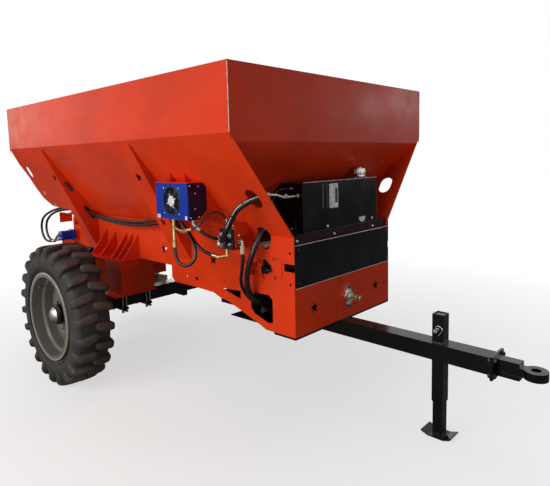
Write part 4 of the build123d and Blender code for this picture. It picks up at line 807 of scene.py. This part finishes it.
def make_ferrules(finish, material, ends):
    bm = bmesh.new()
    for name, end, length, radius, pipe in ends:
        route = CORDS[name][3]
        tip, near = at(*route[end]), at(*route[1 if end == 0 else -2])
        outward = (tip - near).normalized()
        grip = min(length * 0.7, 0.034)
        grooves = max(2, round(grip / 0.007))
        pitch = grip / grooves
        profile = [(-0.0025, radius - 0.003), (-0.0025, radius + 0.0005)]
        for i in range(grooves):
            for share, raised in ((0.15, 0.0012), (0.6, 0.0012), (0.7, 0.0002), (0.95, 0.0002)):
                profile.append(((i + share) * pitch, radius + raised))
        profile += [(grip + 0.001, radius + 0.0005), (grip + 0.001, radius - 0.003)]
        turned(bm, tip, outward, profile, 28)
        nut = max(pipe, radius * 0.62) * 2 + 0.004
        start, height = length - 0.003, 0.010
        if length - grip > 0.009:
            start, height = grip + 0.002, length - grip - 0.003
        hexagon(bm, tip + outward * start, outward, nut, height, radius * 30)
    finished(bm, "ferrules_" + finish, material, 0.0004, 30)


for finish, material, ends in FERRULES:
    make_ferrules(finish, material, ends)


# ---- oil tank: level gauge, filler neck, fixings, painted highlight on the top edge and the thin pipe's unions ----
def make_tank_details():
    low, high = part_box("oil_tank")
    face = FRONT - 0.025
    gauge = face + 0.016
    plates("gauge_body", GLOSS_WHITE, [
        ((face + 0.001, -0.154, 1.339), (gauge + 0.002, -0.076, 1.496)),
    ], 0.003)
    plates("gauge_tube", DARK_PLASTIC, [((gauge, -0.111, 1.372), (gauge + 0.0032, -0.086, 1.466))], 0.001)
    bolts("gauge_screws", X, 0.006, spots([gauge + 0.002], [-0.099], (1.354, 1.482)))
    plates("tank_strips", DARK_PLASTIC, [
        ((face - 0.0005, start, 1.342), (face + 0.004, end, 1.494))
        for start, end in ((-0.226, -0.208), (-0.182, -0.170))
    ])
    bm = bmesh.new()
    neck = at(0.095, 0.300, 1.524)
    turned(bm, neck - Z * 0.001, Z, [
        (0, 0.0395), (0.006, 0.0395), (0.008, 0.037), (0.012, 0.0365), (0.014, 0.0375), (0.050, 0.0375),
        (0.055, 0.035), (0.0585, 0.029), (0.0595, 0.014), (0.0635, 0.013), (0.0645, 0.008),
    ], 48)
    for angle in around(18):
        grip = neck + ray(angle, Y) * 0.0372
        rod(bm, grip + Z * 0.016, grip + Z * 0.048, 0.0022, 8)
    finished(bm, "filler_cap", STEEL, 0.0004, 30)
    bolts("filler_screws", Z, 0.005, [neck + ray(angle, Y) * 0.047 - Z * 0.0095 for angle in (0.5, 2.6, 4.7)])
    top, bottom = high.z - 0.010, low.z + 0.002
    # pale bead on the tank's top front edge: painted highlight
    bead("tank_edge_highlight", EDGE_HIGHLIGHT_AND_WEAR, [
        (Vector((face + 0.001, low.y + 0.003, top)), Vector((face + 0.001, high.y - 0.003, top))),
    ], 0.0026, 0.35, 0.006, "bright_steel")
    bead("tank_welds", BLACK, [
        (Vector((face, y, bottom)), Vector((face, y, top))) for y in (low.y, high.y)
    ], 0.0015, 0.2, 0.006)
    bm = bmesh.new()
    slab(bm, [
        Vector((face, 0.221 + 0.040 * cos(angle), 1.248 - 0.038 * sin(angle))) for angle in around(24)[:13]
    ], X * 0.003)
    finished(bm, "drain_guard", GLOSS_WHITE, 0.0006)
    bolts("tank_foot_bolts", X, 0.008, spots([face], (-0.173, 0.345), [1.224]))
    bolts("shelf_bolts", X, 0.008, [at(0.018, y, 1.168) for y in (-0.480, -0.111, 0.341)])
    bm = bmesh.new()
    for across, height in ((low.y - 0.0005, 1.434), (-0.516, 1.440)):
        hexagon(bm, at(0.062, across, height), -Y, 0.026, 0.014, 0.3)
    finished(bm, "pipe_unions", STEEL, 0.0005)


make_tank_details()


# ---- front panels: painted highlights along the folded edges, and bolts ----
def make_front_details():
    cover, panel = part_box("front_cover"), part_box("front_lower_panel")
    front = cover[1].x
    # pale beads on the panels' top edges: painted highlights
    bead("panel_edge_highlights", EDGE_HIGHLIGHT_AND_WEAR, [
        (Vector((front + proud, low.y + 0.002, height)), Vector((front + proud, high.y - 0.002, height)))
        for (low, high), proud, height in ((cover, -0.001, cover[1].z - 0.001), (panel, 0.0002, panel[1].z))
    ], 0.0026, 0.25, 0.008, "worn_steel")
    bolts("cover_bolts", X, 0.007, spots([front], (-0.490, 0.490), (0.915, 1.118)), IRON)
    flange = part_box("pto_bearing")[1].x - 0.014
    bolts("pto_bearing_bolts", X, 0.011, spots([flange], [0], (0.669, 0.799)), IRON)


def make_power_shaft():
    """Smooth shaft, and the stub with six splines and the groove for the coupling's catch."""
    low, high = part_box("pto_shaft")
    middle = Vector((0, (low.y + high.y) / 2, (low.z + high.z) / 2))
    stub = high.x - 0.078
    smooth = stub - low.x
    bm = bmesh.new()
    turned(bm, middle + X * low.x, X, [
        (0, 0.0185), (0.0015, 0.0198), (smooth - 0.002, 0.0198), (smooth, 0.0178), (smooth + 0.004, 0.0165),
    ], 40)
    rings = []
    for along, inner, outer in (
        (0, 0.0138, 0.0150), (0.004, 0.0142, 0.0172), (0.047, 0.0142, 0.0172), (0.049, 0.0135, 0.0145),
        (0.055, 0.0135, 0.0145), (0.057, 0.0142, 0.0172), (0.074, 0.0142, 0.0172), (0.0775, 0.0128, 0.0140),
    ):
        ring = []
        for i in range(6):
            for share, radius in ((-0.28, inner), (-0.20, outer), (0.20, outer), (0.28, inner), (0.5, inner)):
                out = ray(2 * pi * (i + share) / 6, Z, Y)
                ring.append(bm.verts.new(middle + X * (stub + along) + out * radius))
        rings.append(ring)
    joined(bm, rings)
    finished(bm, "pto_spline", OILED, 0.0003, 30, "pto", replaces=("pto_shaft",))


make_front_details()
make_power_shaft()


# ---- chassis sides: chain adjusters, rails, fold lines and bearings ----
def make_adjuster(name, way):
    """Chain adjuster on one chassis plate: its round-ended plate, the bearing's flange, a black slab painted
    as the slot's shade, the block and screw.
    """
    outward, side = Y * way, way * PLATE_FACE
    low, high, front, rounding = 0.934, 1.058, 0.098, 0.030
    bm = bmesh.new()
    outline = [at(0.180, side, low), at(0.180, side, high)]
    for height, start in ((high - rounding, pi / 2), (low + rounding, 0.0)):
        for i in range(9):
            angle = start - pi / 2 * i / 8
            outline.append(at(front + rounding - rounding * cos(angle), side, height + rounding * sin(angle)))
    slab(bm, outline, outward * 0.0035)
    turned_ring(bm, at(BEARINGS[0], side, SHAFT_HEIGHT), outward, [
        (-0.001, 0.036), (0.008, 0.036), (0.008, 0.0755), (0.0065, 0.077), (-0.001, 0.077),
    ])
    finished(bm, "adjuster_plate_" + name, ORANGE)
    bm = bmesh.new()
    # black slab over the slot beside the bearing: painted shade of the slot's opening
    slab(bm, [at(behind, side, height) for behind, height in (
        (0.2565, 0.944), (0.2565, 1.041), (0.238, 1.041), (0.214, 1.022), (0.188, 1.006), (0.190, 0.986),
        (0.212, 0.962), (0.240, 0.946),
    )], outward * 0.003)
    screw = side + way * 0.012
    block(bm, at(0.254, screw - 0.0135, 0.957), at(0.215, screw + 0.0135, 0.999))
    finished(bm, "adjuster_block_and_slot_shade_" + name, BLACK, 0.0012)
    bm = bmesh.new()
    start = at(0.2155, screw, SHAFT_HEIGHT)
    rod(bm, start, start + X * 0.036, 0.007)
    hexagon(bm, start + X * 0.003, X, 0.022, 0.010, 0.3)
    hexagon(bm, start + X * 0.015, X, 0.022, 0.008, 0.9)
    finished(bm, "adjuster_screw_" + name, IRON, 0.0004)


def make_chassis_details(name, way):
    outward, side = Y * way, way * PLATE_FACE
    rail, bearing = side + way * 0.005, side + way * 0.034
    plates("adjuster_rails_" + name, ORANGE, [
        (at(0.473, side, height), at(0.130, rail, height + 0.016)) for height in (0.934, 1.042)
    ])
    bolts("adjuster_bolts_" + name, outward, 0.011, [at(0.167, rail, 1.052), at(0.161, rail, 0.938)], ORANGE)
    make_adjuster(name, way)
    bead("fold_lines_" + name, ORANGE, [
        (at(0.08, side, 0.878), at(0.85, side, 0.878)), (at(0.63, side, 0.985), at(1.20, side, 0.985)),
    ], 0.0016)
    bolts("bearing_bolts_" + name, outward, 0.009, [
        at(behind + dx, bearing, SHAFT_HEIGHT + dz)
        for behind in BEARINGS for dx in (-0.034, 0.034) for dz in (-0.034, 0.034)
    ], ORANGE)
    bm = bmesh.new()
    for behind in BEARINGS:
        place = at(behind, bearing, SHAFT_HEIGHT)
        turned_ring(bm, place, outward, [
            (-0.001, 0.0245), (0.006, 0.0245), (0.008, 0.027), (0.008, 0.031), (0.002, 0.036),
            (-0.001, 0.036),
        ], 40)
        rod(bm, place + Vector((0.028, 0, 0.028)), place + Vector((0.031, way * 0.008, 0.031)), 0.003)
    finished(bm, "bearing_inserts_" + name, ORANGE)


for side, way in SIDES:
    make_chassis_details(side, way)


# ---- conveyor: link plates on both strands of each chain ----
def make_chain_links():
    bm = bmesh.new()
    start, end, pitch = 0.40, 2.78, 0.050
    link, eye = 0.020, 0.0075                # half the distance between a link's pins, and its ends' radius
    strand = 0.0675                          # from the shafts' height to the middle of a strand
    first_slat, slat_pitch, slat = 0.375, 0.300, 0.055
    # a link's outline round its middle: two half circles about its pins
    outline = [ray(angle, Z, -X) * eye - X * (link if cos(angle) > 0 else -link) for angle in around(12)]
    for across in (-0.430, 0.430):
        for way in (-1, 1):
            height = SHAFT_HEIGHT + way * strand
            for i in range(int((end - start) / pitch)):
                behind = start + i * pitch
                if (behind - first_slat) % slat_pitch < slat:
                    continue
                shift = 0.0045 if i % 2 else 0.0095
                for side in (-1, 1):
                    middle = at(behind, across + side * shift, height)
                    slab(bm, [middle + point for point in outline], Y * side * 0.003)
                pin = at(behind + link, across, height)
                rod(bm, pin - Y * 0.013, pin + Y * 0.013, 0.0035, 8)
    finished(bm, "chain_links", WORN)


make_chain_links()


# ---- rear: gate, conveyor motor and guides ----
def make_rear_details():
    bolts("gate_bolts", -X, 0.010, spots([GATE_FACE], (-0.46, -0.23, 0.23, 0.46), (1.10, 1.255)), body="gate")
    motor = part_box("conveyor_motor")
    end = Vector(((motor[0].x + motor[1].x) / 2, motor[0].y, SHAFT_HEIGHT))
    bolts("motor_bolts", -Y, 0.009, [end + ray(angle) * 0.034 for angle in around(4, pi / 4)])
    bm = bmesh.new()
    for along in (0.022, 0.050, 0.078):
        band(bm, end + Y * along, Y, 0.0012, 0.0455, 0.0466)
    turned(bm, end + Y * 0.001, -Y, [(0, 0.014), (0.003, 0.014), (0.0042, 0.012)])
    finished(bm, "motor_seams", BLUE)
    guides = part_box("gate_guides")[0].x
    for name, way in SIDES:
        bolts("guide_bolts_" + name, -X, 0.007, spots([guides], [way * 0.500], (1.33, 1.38, 1.43)))


make_rear_details()


# ---- drop chute: folded lip, stiffeners, welds and the bolts through the chassis ----
def make_chute_details():
    low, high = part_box("drop_chute")
    lip, thick = 0.018, 0.003
    under = high.z - thick
    plates("chute_lips", ORANGE, [
        ((low.x - lip, low.y - lip, under), (low.x, high.y + lip, high.z)),
        *(((low.x, way * high.y, under), at(2.928, way * (high.y + lip), high.z)) for way in (-1, 1)),
    ])
    bm = bmesh.new()
    foot, crown, depth, start = 0.032, 0.019, 0.016, low.z + 0.045
    stiffeners = (-0.345, 0.0, 0.345)
    for y in stiffeners:
        slab(bm, [
            Vector((low.x + 0.0005, y - foot, start)), Vector((low.x - depth, y - crown, start)),
            Vector((low.x - depth, y + crown, start)), Vector((low.x + 0.0005, y + foot, start)),
        ], Z * (high.z - low.z - 0.080))
    finished(bm, "chute_stiffeners", ORANGE, 0.003)
    corner = high.y - 0.001
    runs = [
        (Vector((low.x + 0.001, y, low.z + 0.002)), Vector((low.x + 0.001, y, under)))
        for y in (-corner, corner)
    ]
    for y in stiffeners:
        for way in (-1, 1):
            for share in (0.10, 0.48, 0.86):
                place = Vector((low.x - 0.001, y + way * foot, start + share * (high.z - low.z - 0.120)))
                runs.append((place, place + Z * 0.040))
    bead("chute_welds", ORANGE, runs, 0.0028, 0.25, 0.006)
    for name, way in SIDES:
        bolts("chute_bolts_" + name, Y * way, 0.008, [
            at(behind, way * PLATE_FACE, 0.924) for behind in (2.852, 2.884)
        ])


make_chute_details()


# ---- rear gate's handles, and the spinner frame's gussets, feet and motor ports ----
def make_gate_handles():
    reach, height, half, wire, bend = 0.042, 1.235, 0.075, 0.006, 0.020
    # half of a handle's line: (out from the gate, across from the middle)
    arm = [(0, half)] + [
        (reach - bend * (1 - sin(angle)), half - bend * (1 - cos(angle))) for angle in around(24)[:7]
    ]
    line = [(out, -across) for out, across in arm] + arm[::-1]
    bm = bmesh.new()
    for middle in (-0.345, 0.345):
        points = [Vector((GATE_FACE - out, middle + across, height)) for out, across in line]
        swept(bm, points, wire, 12)
        for end in (points[0], points[-1]):
            turned(bm, end + X * 0.0005, -X, [(0, 0.013), (0.003, 0.013), (0.006, 0.0075)], 20)
    finished(bm, "gate_handles", BLACK, body="gate")


def make_frame_details():
    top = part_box("spinner_frame")[1].z
    arm_top, hanger, leg = 0.235, 2.640, 0.110
    bm = bmesh.new()
    for across in (-0.520, 0.520):
        slab(bm, [at(hanger + behind, across - 0.003, arm_top + height) for behind, height in (
            (-0.001, -0.001), (leg, -0.001), (leg, 0.014), (0.014, leg), (-0.001, leg),
        )], Y * 0.006)
        foot = at(hanger + 0.018, across - 0.036, top - 0.009)
        block(bm, foot, foot + Vector((0.116, 0.072, 0.008)))
    finished(bm, "frame_gussets", BLACK, 0.001)
    bolts("frame_bolts", -Z, 0.008, [
        at(hanger + shift, across, top - 0.009)
        for shift in (0.009, -0.089) for across in (-0.546, -0.494, 0.494, 0.546)
    ])
    bm = bmesh.new()
    for side in ("right", "left"):
        low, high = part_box("spinner_disc_" + side)
        centre = (low + high) / 2
        for across in (-0.022, 0.022):
            port = Vector((centre.x + 0.048, centre.y + across, 0.268))
            rod(bm, port, port + X * 0.024, 0.011)
            hexagon(bm, port + X * 0.024, X, 0.024, 0.010, across * 20)
        for height in (0.240, 0.298):
            band(bm, Vector((centre.x, centre.y, height)), Z, 0.0015, 0.0545, 0.0562)
    finished(bm, "spinner_motor_ports", BLACK, 0.0005)


def make_spinner_details(side):
    low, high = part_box("spinner_disc_" + side)
    middle = Vector(((low.x + high.x) / 2, (low.y + high.y) / 2, 0))
    bm = bmesh.new()
    place = middle + Z * high.z
    hexagon(bm, place - Z * 0.002, Z, 0.030, 0.014, 0.3)
    rod(bm, place, place + Z * 0.018, 0.0085)
    for angle in around(6, 0.26):
        bolt(bm, middle + ray(angle, Y) * 0.050 + Z * (low.z + 0.018), Z, 0.008)
    finished(bm, "spinner_bolts_" + side, STEEL, 0.0005, body="spinner_" + side)


make_gate_handles()
make_frame_details()
for side in ("right", "left"):
    make_spinner_details(side)


# ---- axle clamps: nuts on the bolts round the beam ----
def make_clamp_bolts():
    under, top = 0.445, 0.582
    bm = bmesh.new()
    for across in (-0.660, -0.440, 0.440, 0.660):
        for behind in (1.756, 1.910):
            for shift in (-0.017, 0.017):
                bolt(bm, at(behind, across + shift, under - 0.001), -Z, 0.012)
                rod(bm, at(behind, across + shift, under), at(behind, across + shift, top), 0.006, 12)
    finished(bm, "clamp_bolts", WORN, 0.0004)


make_clamp_bolts()


# ---- drawbar and hitch: bolts, welds and the stand's clip ----
def make_drawbar_details():
    low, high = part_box("drawbar")
    half = high.y
    back = FRONT + 0.981
    bolt_heights = (0.480, 0.566)
    bolts("hitch_bolts", X, 0.014, spots([back + 0.014], (-0.064, 0.064), bolt_heights), IRON)
    bolts("hitch_nuts", -X, 0.014, spots([back], (-0.070, 0.070), bolt_heights), IRON)
    bead("hitch_welds", BLACK, [
        (Vector((back, -half, high.z)), Vector((back, half, high.z))),
        *((Vector((back, y, low.z)), Vector((back, y, high.z))) for y in (-half, half)),
    ], 0.004, 0.25, 0.006)
    rear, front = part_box("stand_sleeve")
    corners = ((rear.x, rear.y), (front.x, rear.y), (front.x, front.y), (rear.x, front.y))
    bead("sleeve_welds", BLACK, [
        (Vector((*corners[i - 1], z)), Vector((*corners[i], z)))
        for z in (high.z + 0.001, low.z - 0.001) for i in (1, 2, 3, 0)
    ], 0.0035, 0.3, 0.005)
    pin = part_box("stand_pin")
    centre = (pin[0] + pin[1]) / 2
    bm = bmesh.new()
    # the clip's wire: (ahead of the hopper, height)
    clip = (
        (0.651, 0.640), (0.652, 0.655), (0.655, 0.668), (0.660, 0.677), (0.668, 0.680), (0.680, 0.676),
        (0.690, 0.668), (0.695, 0.661), (0.690, 0.650), (0.682, 0.638), (0.675, 0.627), (0.670, 0.621),
    )
    swept(bm, [at(-ahead, rear.y - 0.005, height) for ahead, height in clip], 0.0021, 10)
    head = Vector((centre.x, rear.y - 0.0005, centre.z))
    turned(bm, head, -Y, [(0, 0.0085), (0.002, 0.0085), (0.0025, 0.007)])
    finished(bm, "stand_clip", STEEL)
    bolts("eye_bolt_top", Z, 0.012, [at(-1.085, 0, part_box("tow_eye")[1].z + 0.004)], IRON)


make_drawbar_details()


# ---- hopper: corner edges with painted highlight and rubbed paint, and weld beads ----
def make_hopper_details():
    # pale beads on the hopper's front corners: painted highlight with rubbed paint
    bead("hopper_corner_edges", EDGE_HIGHLIGHT_AND_WEAR, [
        (at(0.001, across, 1.805), at(0.001, across, 2.156)) for across in (-0.999, 0.999)
    ], 0.0022, 0.4, 0.010, "orange_paint")
    bead("hopper_corner_welds", ORANGE, [
        (at(behind, across, 1.770), at(behind, across, 2.150))
        for across in (-0.996, 0.996) for behind in (0.004, 3.055)
    ], 0.0035, 0.25, 0.006)


make_hopper_details()


# ---- pale dashes along the suction hose, on points read from its own spline ----
def spline_points(name):
    data = hose_line(name + "_line", CORDS[name][3], 24)
    holder = bpy.data.objects.new(name + "_line", data)
    mesh = bpy.data.meshes.new_from_object(holder)
    points = [vertex.co.copy() for vertex in mesh.vertices]
    bpy.data.objects.remove(holder)
    bpy.data.curves.remove(data)
    bpy.data.meshes.remove(mesh)
    return points


def make_dashes():
    """Row of plain pale dashes on the outer side of the suction hose."""
    points = spline_points("hose_suction")
    radius = CORDS["hose_suction"][0] / 2 + 0.0004
    facing = Vector((0.62, -0.55, 0.56)).normalized()
    along = [0.0]
    for one, other in zip(points, points[1:]):
        along.append(along[-1] + (other - one).length)
    start, end, pitch, dash, half_angle = 0.13, along[-1] - 0.015, 0.0115, 0.0075, 0.16

    def spot(distance, turn):
        """Point on the hose's surface, at an angle from the side that faces out."""
        i = max(k for k in range(len(points) - 1) if along[k] <= distance)
        share = (distance - along[i]) / (along[i + 1] - along[i])
        ahead = (points[i + 1] - points[i]).normalized()
        out = (facing - ahead * facing.dot(ahead)).normalized()
        return points[i].lerp(points[i + 1], share) + ray(turn, ahead.cross(out), out) * radius

    bm = bmesh.new()
    chance = random.Random(3)
    for i in range(int((end - start) / pitch)):
        if i % 9 == 8:
            continue
        near = start + i * pitch
        far = near + dash * chance.uniform(0.7, 1.0)
        top = [spot(near, -half_angle), spot(far, -half_angle), spot(far, half_angle), spot(near, half_angle)]
        normal = (top[1] - top[0]).cross(top[3] - top[0]).normalized()
        if normal.dot(facing) < 0:
            normal = -normal
        slab(bm, [corner - normal * 0.0008 for corner in top], normal * 0.0011)
    return finished(bm, "hose_suction_dashes", GLOSS_WHITE)


on_cords = {"hose_suction": [make_dashes()]}
for name, (diameter, length, stiffness, route) in CORDS.items():
    make_cord(name, diameter, route)
